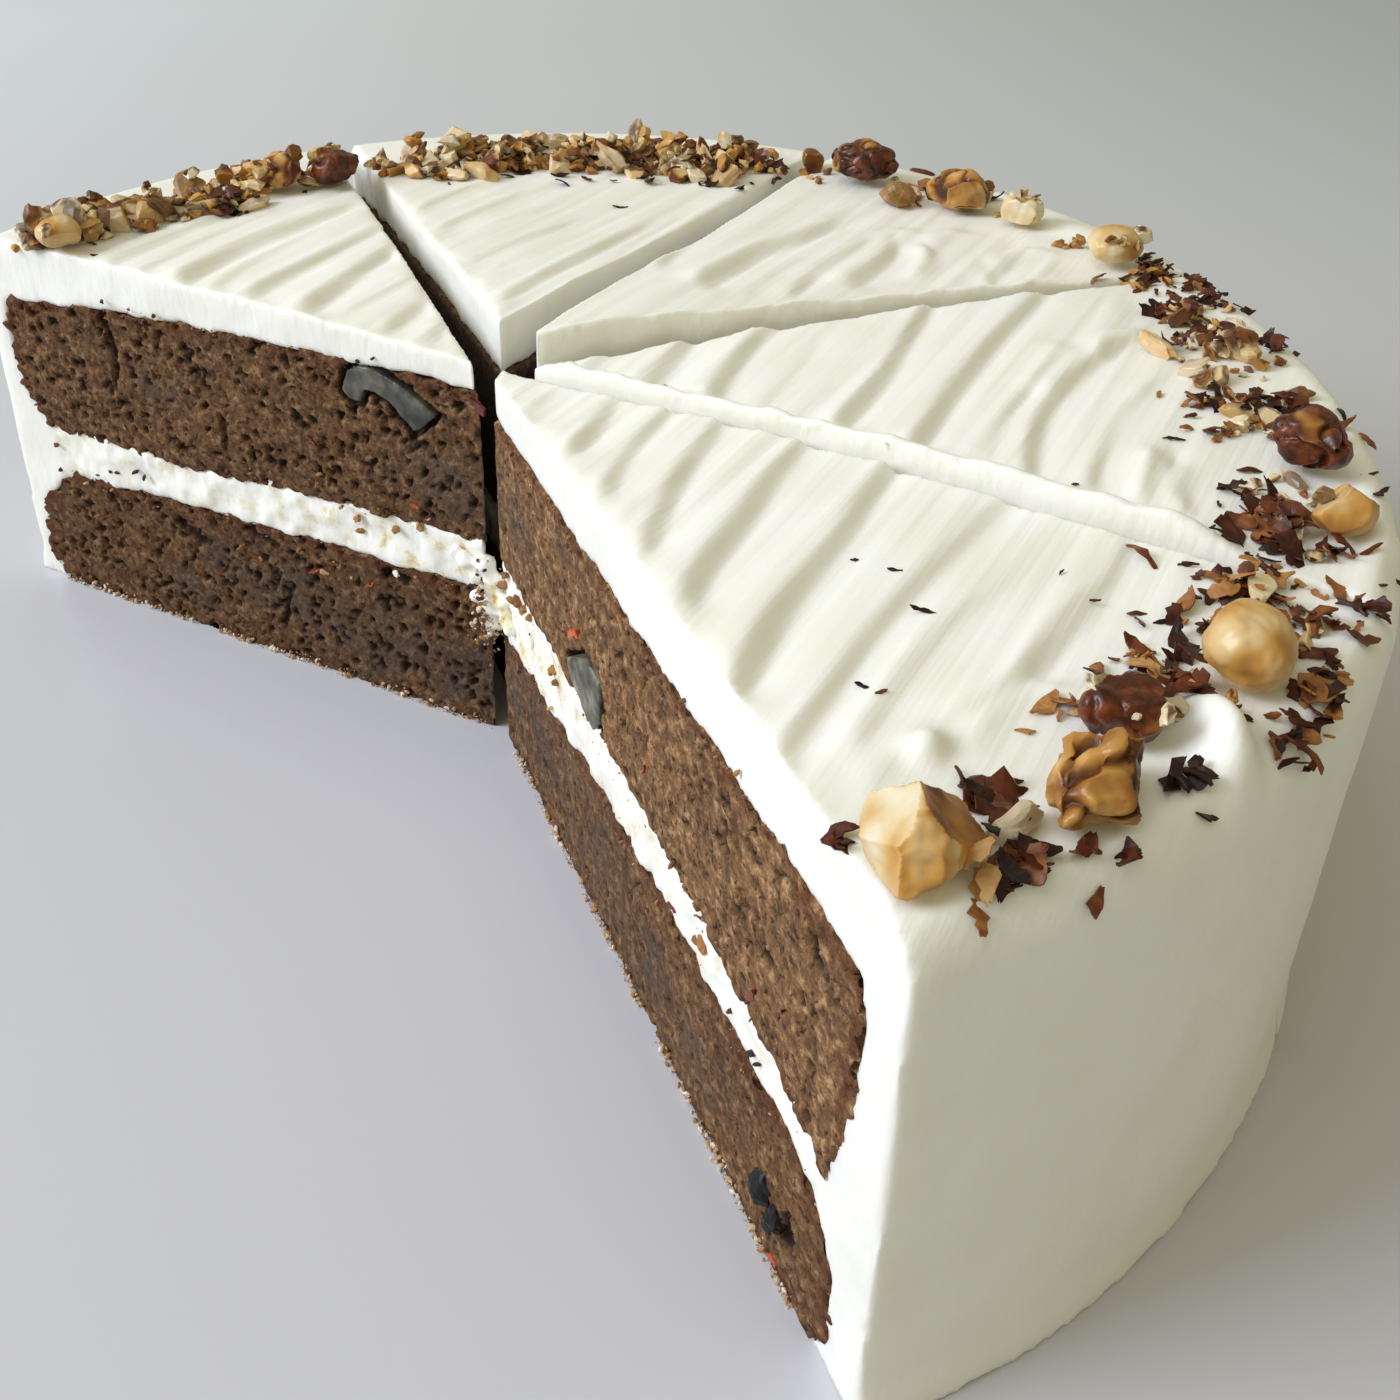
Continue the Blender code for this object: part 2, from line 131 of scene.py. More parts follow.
def axes(bearing):
    """The direction of a bearing in degrees, and the direction to its right."""
    turn = math.radians(bearing)
    return (np.array([math.cos(turn), math.sin(turn)]),
            np.array([math.sin(turn), -math.cos(turn)]))


def cut_frame(name, side):
    """A cut's tip point, its direction outwards, and the direction into the slice."""
    x, y, bearing = CUTS[name][side]
    along, right = axes(bearing)
    return np.array([x, y]), along, right if side == "left" else -right


def from_cut(points, name, side):
    """How far points lie into the slice from a cut, and how far out along it from the tip."""
    tip, along, inward = cut_frame(name, side)
    over = points[:, :2] - tip
    return over @ inward, over @ along


def keep_value(piece, name, values):
    """Keep one number a point, for the material to read."""
    held = piece.data.attributes.new(name, "FLOAT", "POINT")
    held.data.foreach_set("value", values.astype(np.float32))


def outline_distance(flat, outline):
    """How far each point lies outside a closed outline, in millimetres, and 0 within it."""
    nearest = np.full(len(flat), 1e9)
    within = np.zeros(len(flat), bool)
    for start, end in zip(outline, outline[1:] + outline[:1]):
        start, end = np.array(start), np.array(end)
        edge = end - start
        share = np.clip((flat - start) @ edge / (edge @ edge), 0.0, 1.0)
        nearest = np.minimum(nearest, np.linalg.norm(flat - start - share[:, None] * edge, axis=1))
        rising = (flat[:, 1] >= start[1]) != (flat[:, 1] >= end[1])
        if edge[1]:
            crossing = start[0] + (flat[:, 1] - start[1]) * edge[0] / edge[1]
            within ^= rising & (flat[:, 0] < crossing)
    return np.where(within, 0.0, nearest)


def strew_pores(layer, low, high, rng):
    """Pores of a cut crumb, and cracks as chains of them: place, size, narrowness and turn."""
    openness = OPENNESS[layer]
    pores = []
    for _ in range(int((high[0] - low[0]) * (high[1] - low[1]) * openness)):
        x, z = rng.uniform(low[0], high[0]), rng.uniform(low[1], high[1])
        if noise.noise(Vector((x / 5.0, z / 5.0, 40.0))) < rng.uniform(-0.6, 0.25):
            continue
        size = 0.24 + 0.80 * rng.random() ** 4.0 * min(1.0, 1.4 * openness)
        pores.append((x, z, size, rng.uniform(0.28, 1.0), rng.uniform(0.0, 3.14)))
    for start, end, size in CRACKS[layer]:
        steps = max(2, int(math.dist(start, end) / 0.5))
        for step in range(steps):
            share = step / (steps - 1)
            wander = 0.7 * noise.noise(Vector((share * 4.0, start[0], end[0])))
            pores.append((start[0] + (end[0] - start[0]) * share + wander,
                          start[1] + (end[1] - start[1]) * share, size, 1.0, 1.57))
    return pores


def open_pores(points, face, name, side, layer, rng):
    """Press the pores and cracks of a cut crumb into the face; returns how deep each point is."""
    inward = cut_frame(name, side)[2]
    flat = np.column_stack([from_cut(points, name, side)[1], points[:, 2]])
    chosen = np.flatnonzero(face)
    tree = kdtree.KDTree(len(chosen))
    for place, index in enumerate(chosen):
        tree.insert((flat[index, 0], flat[index, 1], 0.0), place)
    tree.balance()
    depth = np.zeros(len(points))
    pores = strew_pores(layer, flat[chosen].min(0), flat[chosen].max(0), rng)
    for x, z, size, narrow, turn in pores:
        cosine, sine = math.cos(turn), math.sin(turn)
        for found, place, _ in tree.find_range((x, z, 0.0), size * 1.3):
            over, up = found[0] - x, found[1] - z
            run = (over * cosine + up * sine) / size
            wide = (-over * sine + up * cosine) / (size * narrow)
            ragged = 1.0 + 0.9 * noise.noise(Vector((found[0], found[1], 3.0)) * 1.1)
            reach = math.hypot(run, wide) * ragged
            if reach < 1.0:
                index = chosen[place]
                depth[index] = max(depth[index], (1.0 - reach ** 2) * min(1.5, size * 1.25))
    # A groove round each sliced walnut; its depth, like every pore's, also darkens the crumb's
    # colour as painted shade
    if layer in BAKED:
        gap = outline_distance(flat[chosen], BAKED[layer])
        gap += 0.5 * grain(points[chosen], 1.5, 71.0)
        depth[chosen] = np.maximum(depth[chosen], 2.0 * (1.0 - soft_step(gap, 0.5, 1.1)))
    crumb = 0.22 * grain(points, 1.1, 4.0) + 0.16 * grain(points, 2.7, 9.0)
    points[chosen, :2] += inward * (depth + np.clip(crumb + 0.1, -0.2, 0.5))[chosen][:, None]
    # The depth returned here also darkens the crumb's colour, as painted shade in the pores
    return np.clip(depth + 0.5 * np.clip(crumb, -0.2, 0.5), 0.0, 2.0)


def tear_edges(points, normals, name, side):
    """Tear the edges of a crumb ragged beside an open cut, and more so near the rim."""
    inward = np.append(cut_frame(name, side)[2], 0.0)
    inside, out = from_cut(points, name, side)
    sideways = normals - np.outer(normals @ inward, inward)
    torn = 0.20 + 0.85 * grain(points, 1.5, 7.0) + 0.75 * grain(points, 3.6, 17.0)
    torn *= 1.0 + 0.9 * soft_step(out, 66.0, 88.0)
    points += sideways * (torn * (1.0 - soft_step(inside, 1.0, 3.0)))[:, None]


def crust_edges(points, face, out):
    """1 along the top, foot and outer edge of an open face, where the crumb is crusted."""
    slot = np.clip((out / 2.0).astype(int) + 5, 0, 69)
    top = np.full(70, -1e3)
    foot = np.full(70, 1e3)
    np.maximum.at(top, slot[face], points[face, 2])
    np.minimum.at(foot, slot[face], points[face, 2])
    edge = np.minimum(top[slot] - points[:, 2], out[face].max() - out)
    edge = np.minimum(edge, points[:, 2] - foot[slot] + 1.0)
    wavy = edge + 1.9 * grain(points, 2.6, 5.0) - 0.05 * np.clip(out - 70.0, 0.0, 30.0)
    return np.where(face, 1.0 - soft_step(wavy, -0.2, 2.2), 0.0)


def damp_patches(points, out, patches):
    """How damp the crumb is at every point, from the patches of its open cut."""
    mottle = 0.75 + grain(points, 4.0, 13.0)
    away = [np.hypot((out - x) / 1.5, points[:, 2] - z) / reach for x, z, reach in patches]
    return np.max([np.exp(-each ** 2) * mottle for each in away], axis=0)

# Each crack in millimetres: (out from the tip, height) at both ends, and how wide
CRACKS = {
    "upper_sponge_1": (((70.3, 58.5), (68.4, 51.5), 0.9), ((68.6, 51.5), (69.6, 44.5), 0.6),
                       ((47.6, 43.4), (47.8, 37.0), 0.6), ((52.0, 50.5), (49.5, 52.0), 0.7)),
    "lower_sponge_1": (((60.9, 20.8), (56.8, 18.6), 1.3), ((46.5, 24.2), (40.0, 22.6), 0.9),
                       ((18.0, 24.2), (15.5, 24.0), 1.2), ((38.5, 15.5), (41.0, 6.5), 0.7),
                       ((67.8, 6.0), (66.0, 7.4), 0.8)),
    "upper_sponge_5": (((79.7, 41.5), (80.4, 42.6), 0.9), ((85.4, 41.4), (87.0, 42.2), 1.0),
                       ((94.2, 52.6), (95.2, 51.2), 1.2), ((75.4, 49.5), (75.6, 48.2), 0.9),
                       ((81.0, 52.4), (81.4, 51.2), 0.8)),
    "lower_sponge_5": (((95.0, 10.6), (95.2, 7.6), 1.5), ((64.0, 26.0), (67.5, 24.6), 0.8)),
}
# Greyer, damper crumb in the open cuts, in millimetres: out from the tip, height and reach
DAMP = {
    "upper_sponge_1": ((7.0, 44.0, 6.5), (60.0, 47.0, 4.0)),
    "lower_sponge_1": ((4.0, 7.0, 12.0), (20.0, 9.0, 10.5), (38.0, 13.0, 7.5), (51.0, 16.0, 4.5),
                       (61.0, 8.0, 4.0)),
    "upper_sponge_5": ((8.0, 46.0, 8.0), (30.0, 52.0, 4.0)),
    "lower_sponge_5": ((5.0, 14.0, 10.0), (22.0, 13.0, 10.0), (40.0, 11.0, 10.0), (58.0, 9.0, 9.0),
                       (72.0, 10.0, 6.0)),
}
# Outlines of the sliced walnuts in the two open cuts, in millimetres: out from the tip, height
BAKED = {
    "upper_sponge_1": [(22.1, 59.0), (20.0, 60.0), (17.5, 60.1), (13.4, 58.8), (10.0, 57.0),
                       (7.0, 55.0), (8.9, 53.0), (10.9, 51.5), (13.0, 53.6), (15.0, 55.4),
                       (17.5, 56.4), (19.4, 56.4), (20.2, 54.2), (21.8, 54.0), (23.3, 55.6)],
    "upper_sponge_5": [(28.5, 37.0), (32.2, 39.8), (35.4, 42.0), (40.0, 41.4), (40.7, 39.0),
                       (40.2, 35.0), (38.2, 32.4), (36.0, 32.2), (33.0, 34.0), (30.0, 34.2)],
}
BAKED_NODES = {"upper_sponge_1": "baked_walnut_left", "upper_sponge_5": "baked_walnut_right"}
# How many pores a square millimetre each open face has
OPENNESS = {"upper_sponge_1": 1.05, "lower_sponge_1": 1.15, "upper_sponge_5": 0.60,
            "lower_sponge_5": 0.60}
# How dark each layer's crumb is painted, as shade: most in the left cut, which the window light
# strikes at a slant, and more in the lower layers
CUT_SHADE = {"upper_sponge_1": 0.40, "lower_sponge_1": 0.52, "upper_sponge_5": 0.0,
         "lower_sponge_5": 0.32}
# How fine the grid is in the two slices with an open cut, and in the others
FINE_CRUMB, PLAIN_CRUMB = {"1": 0.43 * MM, "5": 0.46 * MM}, 1.1 * MM
# How far the crumb is swelled into the cream round it, and stands back from the knife's face
SWELL, STAND_BACK = 0.36 * MM, 0.14
sponges = {}
rng = random.Random(11)
for layer in ("lower_sponge_", "upper_sponge_"):
    for name in CUTS:
        filled = [layer + name]
        if layer + name in BAKED_NODES:
            filled.append(BAKED_NODES[layer + name])
        piece = copy_solids(filled, "crumb_" + layer + name, SWELL,
                            FINE_CRUMB.get(name, PLAIN_CRUMB))
        points, normals = read_points(piece)
        points += normals * (0.16 * grain(points, 2.4, 7.0))[:, None]
        pores, crust, damp_and_shade = np.zeros((3, len(points)))
        for side in ("left", "right"):
            inside = from_cut(points, name, side)[0]
            if OPEN_CUTS.get(name) == side:
                tear_edges(points, normals, name, side)
            stand_back = STAND_BACK + 0.12 * grain(points, 9.0, 2.0)
            face = inside < stand_back + 0.12
            moved = np.maximum(inside, stand_back) - inside
            points[:, :2] += cut_frame(name, side)[2] * moved[:, None]
            # Faces that lie against the next slice get painted shade: their crumb is greyed and
            # darkened to stand in for the shade of the narrow gap between the slices
            if OPEN_CUTS.get(name) != side:
                damp_and_shade = np.maximum(damp_and_shade, np.where(face, 1.2, 0.0))
                pores = np.maximum(pores, np.where(face, 0.45, 0.0))
                continue
            pores += open_pores(points, face, name, side, layer + name, rng)
            out = from_cut(points, name, side)[1]
            crust = np.maximum(crust, crust_edges(points, face, out))
            damp_and_shade = np.maximum(damp_and_shade, damp_patches(points, out, DAMP[layer + name]))
        points[:, 2] = np.maximum(points[:, 2], 0.05)
        write_points(piece, points)
        keep_value(piece, "pore_shade", pores)
        keep_value(piece, "crust", crust)
        keep_value(piece, "damp_and_shade", damp_and_shade)
        keep_value(piece, "cut_shade", np.full(len(points), CUT_SHADE.get(layer + name, 0.3)))
        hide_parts(layer + name)
        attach(piece, "root")
        sponges[layer + name] = piece


def linear(hex_colour):
    """An sRGB hex colour as linear red, green, blue and alpha."""
    parts = [int(hex_colour[at:at + 2], 16) / 255.0 for at in (0, 2, 4)]
    return [part / 12.92 if part <= 0.04045 else ((part + 0.055) / 1.055) ** 2.4
            for part in parts] + [1.0]


class Look:
    """A material whose shader nodes are added one at a time; most methods return an output."""

    def __init__(self, name, **settings):
        self.material = bpy.data.materials.new(name)
        self.material.use_nodes = True
        self.shader = self.material.node_tree.nodes["Principled BSDF"]
        for setting, value in settings.items():
            self.shader.inputs[setting.replace("_", " ")].default_value = value

    def node(self, kind, inputs, **settings):
        """Add a shader node; an input takes a value, or a link where it is given an output."""
        made = self.material.node_tree.nodes.new("ShaderNode" + kind)
        for setting, value in settings.items():
            setattr(made, setting, value)
        for socket, value in inputs.items():
            if isinstance(value, bpy.types.NodeSocket):
                self.material.node_tree.links.new(value, made.inputs[socket])
            else:
                made.inputs[socket].default_value = value
        return made

    def where(self):
        """The object's own coordinates, in metres."""
        return self.node("TexCoord", {}).outputs["Object"]

    def kept(self, name):
        """A number kept at every point of the mesh."""
        return self.node("Attribute", {}, attribute_name=name).outputs["Fac"]

    def noise(self, where, scale, detail, roughness=0.5):
        """Smooth noise over some coordinates."""
        return self.node("TexNoise", {"Vector": where, "Scale": scale, "Detail": detail,
                                      "Roughness": roughness}).outputs["Fac"]

    def span(self, source, low, high, least=0.0, most=1.0):
        """A number taken from one range to another, and held inside it."""
        return self.node("MapRange", {0: source, 1: low, 2: high, 3: least, 4: most}).outputs[0]

    def ramp(self, source, *stops):
        """A colour read from stops, each a place and a hex colour."""
        made = self.node("ValToRGB", {"Fac": source})
        elements = made.color_ramp.elements
        for number, (at, colour) in enumerate(stops):
            stop = elements[number] if number < 2 else elements.new(at)
            stop.position = at
            stop.color = linear(colour)
        return made.outputs[0]

    def mix(self, share, first, second):
        """Two colours mixed, each a hex colour or an output."""
        first, second = [linear(colour) if isinstance(colour, str) else colour
                         for colour in (first, second)]
        return self.node("MixRGB", {0: share, 1: first, 2: second}).outputs[0]

    def bump(self, height, strength, distance, under=None):
        """A bump of so many millimetres, over another one if given."""
        inputs = {"Height": height, "Strength": strength, "Distance": distance * MM}
        if under is not None:
            inputs["Normal"] = under
        return self.node("Bump", inputs).outputs[0]

    def use(self, socket, source):
        """Link an output to the shader."""
        self.material.node_tree.links.new(source, self.shader.inputs[socket])


# Baked carrot sponge: a dull, moist crumb. The colour wanders from warm to greyer brown over 12
# mm, speckled at 1.6 mm, with dark pores; it is redder where the crumb meets the cream. Painted
# shade makes one cut darker than the other, and it darkens the deeper pores and the faces hidden
# between the slices
sponge_look = Look("baked_carrot_sponge", Roughness=0.88, Specular_IOR_Level=0.25)
where = sponge_look.where()
warm = sponge_look.ramp(sponge_look.noise(where, 85.0, 3.0, 0.6), (0.32, "604A35"),
                        (0.5, "7A5A3C"), (0.7, "8E6A44"))
speckle = sponge_look.noise(where, 640.0, 4.0, 0.7)
speckled = sponge_look.ramp(speckle, (0.36, "2C1A10"), (0.45, "61432A"), (0.55, "8C6844"),
                            (0.66, "C8A276"))
pinhole = sponge_look.noise(where, 1150.0, 2.0)
colour = sponge_look.mix(sponge_look.span(pinhole, 0.42, 0.33, 0.0, 0.85),
                         sponge_look.mix(0.6, warm, speckled), "2A1A10")
colour = sponge_look.mix(sponge_look.kept("cut_shade"), colour, "361C0A")
# The crust is the crumb's own colour; the damp value holds real damp patches plus painted shade on
# the hidden faces, and the pore value is painted shade in the pores
for value, low, high, most, tint in (("crust", 0.0, 1.0, 0.62, "562A16"),
                                     ("damp_and_shade", 0.1, 0.9, 0.5, "4A423D"),
                                     ("pore_shade", 0.12, 0.75, 0.9, "1E120A")):
    share = sponge_look.span(sponge_look.kept(value), low, high, 0.0, most)
    colour = sponge_look.mix(share, colour, tint)
sponge_look.use("Base Color", colour)
sponge_look.use("Normal", sponge_look.bump(pinhole, 0.6, 0.35,
                                           sponge_look.bump(speckle, 0.7, 0.5)))
for piece in sponges.values():
    piece.data.materials.append(sponge_look.material)

# Frosting and filling
# Cream cheese frosting over the top and down the side, one with the cream between the sponges.
# A spatula combed the top in strokes, and the knife pushed up a rope of cream along two cuts.
TOP = 66.4
# Each stroke in millimetres: where it starts, its bearing, length, bend, width and depth
STROKES = {
    "1": ((-74, 27.5, 60, 40, 2.0, 3.4, 0.6), (-68, 25, 63, 38, 1.5, 2.8, 0.8),
          (-61.5, 22.5, 61, 40, 3.0, 5.0, 1.7), (-55, 20.5, 68, 24, 1.0, 2.8, 0.7),
          (-49, 19.0, 64.5, 34, 0.5, 3.2, 1.2), (-39.8, 15.5, 70, 27, 0.8, 4.0, 1.7),
          (-33.5, 15.0, 60, 18, 0.0, 2.2, 0.6), (-27.2, 11.0, 67, 16, 0.0, 3.4, 1.4),
          (-20, 8, 67, 12, 0.0, 2.6, 0.7), (-80, 33, 58, 22, 1.5, 2.4, 0.5)),
    "2": ((-25.5, 46, 60, 24, 0.5, 3.2, 1.0), (-18, 49, 47, 18, 0.5, 2.0, 0.5),
          (-18, 30, 58, 26, 0.5, 3.0, 0.8), (-10.5, 16, 62, 42, 0.5, 2.6, 1.1),
          (-13.5, 27, 62, 24, 0.0, 2.0, 0.5), (-30, 56, 60, 16, 0.5, 2.4, 0.6),
          (-1, 22, 68, 40, 0.5, 2.2, 0.5)),
    "3": ((17.5, 26.5, 53.5, 41, 2.2, 5.0, 1.9), (39.5, 30.5, 63.5, 21, -1.0, 4.4, 1.8),
          (11, 32, 66, 27, 1.5, 2.8, 0.9), (31, 23.5, 62, 30, 1.0, 3.0, 0.7),
          (62, 33, 52, 12, 2.0, 3.0, 0.9), (25, 22, 60, 22, 1.0, 2.0, 0.4)),
    "4": ((11.0, -3.0, 67, 17, 0.0, 3.8, 1.6), (19.6, -6.0, 65, 29, 1.2, 4.0, 1.9),
          (27, -9, 66, 20, 0.0, 2.2, 0.5), (36.3, -13.5, 68, 42, -0.8, 3.2, 1.6),
          (45.6, -18.5, 63.5, 56, 1.2, 3.2, 1.8), (54, -21, 63, 34, 1.0, 2.4, 0.7),
          (58.6, -24.5, 61, 47, 4.0, 3.0, 1.5), (66, -27, 63, 32, 2.0, 2.2, 0.9),
          (74, -30, 76, 13, 0.0, 3.2, 1.0), (3, 1, 60, 10, 0.0, 2.0, 0.6)),
    "5": ((3.6, -21.5, 72, 16, 0.0, 3.4, 1.5), (8.5, -32.5, 72.5, 25, 0.6, 2.8, 1.2),
          (13.6, -44.5, 75, 34, 0.8, 3.4, 1.4), (18.6, -53.5, 68.5, 40, 0.8, 4.0, 1.8),
          (23.8, -67, 66, 50, 0.8, 3.8, 1.9), (28.5, -76.5, 59.5, 55, 1.2, 2.8, 1.3),
          (35.5, -75, 58, 30, 1.0, 2.0, 0.8), (44, -71, 54.5, 42, -2.5, 2.8, 1.1),
          (52, -64, 56, 20, 1.0, 2.0, 0.6), (71, -52, 74, 13, 0.0, 2.4, 0.7),
          (-3, -9, 64, 6, 0.0, 2.0, 0.6)),
}
# Raised folds of cream: where each starts, its bearing, length, bend, width and height
FOLDS = {
    "3": ((50.5, 33, 78, 15, -1.5, 1.5, 0.9), (64, 40, 32, 13, 2.5, 2.0, 0.8),
          (55, 48, 40, 10, 2.0, 2.0, 0.6), (46, 50, 30, 9, 1.5, 1.8, 0.6)),
    "4": ((70.8, -31, 70, 14, 0.0, 1.3, 1.0), (75.5, -33, 74, 12, 0.5, 1.1, 0.8),
          (64, -3, 66, 16, 0.0, 2.6, 0.7), (74, 8, 45, 12, 2.0, 1.6, 0.8)),
    "5": ((46, -74, 35, 14, 2.5, 2.4, 0.8), (36, -81, 38, 12, 2.0, 1.8, 0.6)),
}
# Soft peaks: their place, how far they reach and how high they stand
# and, where one is drawn out, its bearing and its length over its width
PEAKS = {"5": ((69.0, -73.0, 2.5, 4.6, -82, 2.1), (42.4, -75.8, 1.5, 1.8, 60, 1.3),
               (95.0, -43.0, 3.2, 2.2, -30, 1.6), (92.0, -53.0, 2.6, 0.8, -50, 2.2)),
         "4": ((98.0, -36.0, 2.6, 1.6, -20, 1.8),), "3": ((80.0, 57.0, 3.0, 0.8, -40, 2.0),),
         "2": (), "1": ()}
# Raised lips of cream round the rim: bearings, radius, half width and height
LIPS = {"5": ((-47.5, -67.0, 103.2, 1.7, 1.0), (-29.0, -41.0, 104.0, 2.0, 0.8)),
        "4": ((-27.0, -8.0, 103.4, 1.8, 0.6),), "3": ((22.0, 50.0, 103.6, 1.8, 0.5),)}
TIP_LIFT = {"1": (-1.2, 26), "2": (2.0, 40), "3": (2.2, 46), "4": (-2.0, 34), "5": (-2.7, 28)}
ROPES = {"4": (1.7, 3.0, 97.0, 2.7), "3": (1.2, 4.0, 88.0, 0.9)}
# Cut edges that the knife smoothed on its way
CALM_EDGES = {"1": ("left", "right"), "2": ("left",), "5": ("right",)}


# Bearing of the fine lines that the spatula left along its strokes
COMBING = 62.5
# In millimetres: the side wall's radius, and the height that all of the filling lies below
WALL, FILLING_TOP = 104.0, 45.0
# The top is reshaped above this height; between these radii it runs out into the solid's own edge
RESHAPED_FROM, KEPT_EDGE = 61.0, (95.0, 101.0)


def flat_grain(points, size, seed=0.0):
    """Smooth random values, -1 to 1, that don't change with height."""
    return grain(points * (1, 1, 0), size, seed)


def local_place(points, x, y, bearing, bend, length):
    """How far along a stroke and how far to its right each point is, the stroke being bent."""
    along, right = axes(bearing)
    over = points[:, :2] - (x, y)
    return over @ along, over @ right + bend * (1.0 - (2.0 * (over @ along) / length - 1.0) ** 2)


def tip_swell(name, away):
    """How far a slice's top is raised or sunk towards its tip."""
    lift, reach = TIP_LIFT[name]
    return lift * np.exp(-(away / reach) ** 2)


def combed_top(name, points):
    """Height of the frosting's top: strokes and fine combing on a slow swell."""
    tip_x, tip_y, _ = CUTS[name]["left"]
    height = TOP + 0.5 * flat_grain(points, 38.0, 1.0)
    height += tip_swell(name, np.hypot(points[:, 0] - tip_x, points[:, 1] - tip_y))
    wander = 0.5 * flat_grain(points, 16.0, 6.0)
    for x, y, bearing, length, bend, width, depth in STROKES[name]:
        along, across = local_place(points, x, y, bearing, bend, length)
        across = across + wander
        share = np.clip(along / length, 0.0, 1.0)
        width = width * (0.78 - 0.30 * share)
        ends = between(along, -3.0, 2.5, length - 5.0, length + 4.0)
        rise = np.clip(1.0 + across / 7.0, 0.0, 1.0) ** 1.5
        fall = 1.0 - soft_step(across, 0.0, width) * 2.0
        back = -np.clip(1.0 - (across - width) / 5.0, 0.0, 1.0) ** 1.7
        wave = np.where(across < 0.0, rise, np.where(across < width, fall, back))
        height += 0.5 * depth * wave * ends * (1.0 - 0.25 * share)
    combed = np.column_stack([points[:, :2] @ axes(COMBING)[1], points[:, :2] @ axes(COMBING)[0],
                              points[:, 2] * 0.0])
    height += 0.40 * grain(combed, 1.0, 17.0, (3.4, 60.0, 1.0))
    height += 0.22 * grain(combed, 1.0, 3.0, (1.5, 40.0, 1.0))
    return height


def raised_cream(name, points):
    """What stands above the combed top: folds, soft peaks, and lips round the rim."""
    raised = np.zeros(len(points))
    for x, y, bearing, length, bend, width, lift in FOLDS.get(name, ()):
        along, across = local_place(points, x, y, bearing, bend, length)
        ends = between(along, -2.0, 3.0, length - 3.0, length + 2.0)
        raised += lift * ends * np.exp(-(across / width) ** 2)
    for x, y, reach, lift, bearing, drawn in PEAKS[name]:
        along, right = axes(bearing)
        over = points[:, :2] - (x, y)
        away = np.hypot(over @ along / (reach * drawn), over @ right / reach)
        raised += lift * np.exp(-away ** 2.6)
    radius = np.hypot(points[:, 0], points[:, 1])
    bearing = np.degrees(np.arctan2(points[:, 1], points[:, 0]))
    for start, end, centre, width, lift in LIPS.get(name, ()):
        first, last = min(start, end), max(start, end)
        ends = between(bearing, first - 2.0, first + 4.0, last - 4.0, last + 2.0)
        wave = 0.9 * flat_grain(points, 13.0, 81.0)
        raised += lift * ends * np.exp(-((radius - centre - wave) / width) ** 2)
    return raised


def rim_band(points, height):
    """The top with a smoother band round the rim, levelled with the side of the spatula."""
    radius = np.hypot(points[:, 0], points[:, 1])
    inner = 86.0 + 2.5 * flat_grain(points, 17.0, 12.0)
    band = TOP + 0.35 * flat_grain(points, 11.0, 15.0)
    share = soft_step(radius - inner, -3.0, 4.0)
    return height * (1.0 - share) + band * share


def calm_edges(name, points, height):
    """The top with its edges smoothed along the cuts that the knife calmed."""
    for side in CALM_EDGES.get(name, ()):
        inside, away = from_cut(points, name, side)
        calm = TOP + tip_swell(name, away)
        calm += 0.45 * flat_grain(points, 8.0, 19.0) + 0.25 * flat_grain(points, 3.0)
        share = soft_step(inside, 0.2, 2.4)
        height = calm * (1.0 - share) + height * share
    return height


def rope(name, points):
    """Height of the rope of cream that the knife pushed up along a slice's right-hand cut."""
    half, begin, length, lift = ROPES[name]
    inside, away = from_cut(points, name, "right")
    wave = 0.45 * grain(np.column_stack([away, away * 0.0, away * 0.0]), 7.0, 21.0)
    thick = half * (0.62 + 0.52 * np.clip(away / 75.0, 0.0, 1.0)) * (1.0 + 0.8 * wave)
    taper = between(away, begin - 4.0, begin + 3.0, length - 12.0, length)
    side = (inside - 0.8 * half - wave) / thick
    rise = np.sqrt(np.clip(1.0 - side ** 2, 0.0, 1.0))
    rise = np.where(side < 0.0, np.maximum(rise, 0.75), rise)
    return lift * (thick / half) * taper * rise


def solid_top(name, points):
    """Height of the solid's own top over each point, or the point's own where there is none."""
    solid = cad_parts["frosting_" + name]
    skin = BVHTree.FromPolygons([vert.co / MM for vert in solid.data.vertices],
                                [tuple(face.vertices) for face in solid.data.polygons])
    inner = points.copy()
    for side in ("left", "right"):
        short = np.maximum(0.0, 0.6 - from_cut(inner, name, side)[0])
        inner[:, :2] += cut_frame(name, side)[2] * short[:, None]
    hits = [skin.ray_cast(Vector((x, y, 90.0)), Vector((0, 0, -1)))[0] for x, y, _ in inner]
    return np.array([own if hit is None else hit.z for hit, own in zip(hits, points[:, 2])])


def comb(name, upper, facing_up):
    """New heights for the upper points of a slice's cream, which give it the combed top."""
    old_top = solid_top(name, upper)
    target = calm_edges(name, upper, rim_band(upper, combed_top(name, upper)))
    radius = np.hypot(upper[:, 0], upper[:, 1])
    keep = soft_step(radius, *KEPT_EDGE)
    target = target * (1.0 - keep) + old_top * keep + raised_cream(name, upper)
    if name in ROPES:
        target += rope(name, upper)
    low = RESHAPED_FROM - 1.0
    share = np.clip((upper[:, 2] - low) / np.maximum(old_top - low, 1.0), 0.0, None)
    stretched = low + share * (target - low)
    upward = soft_step(facing_up, 0.30, 0.55) * (share > 0.7)
    upward *= 1.0 - soft_step(radius, 98.0, KEPT_EDGE[1])
    return stretched * (1.0 - upward) + target * upward


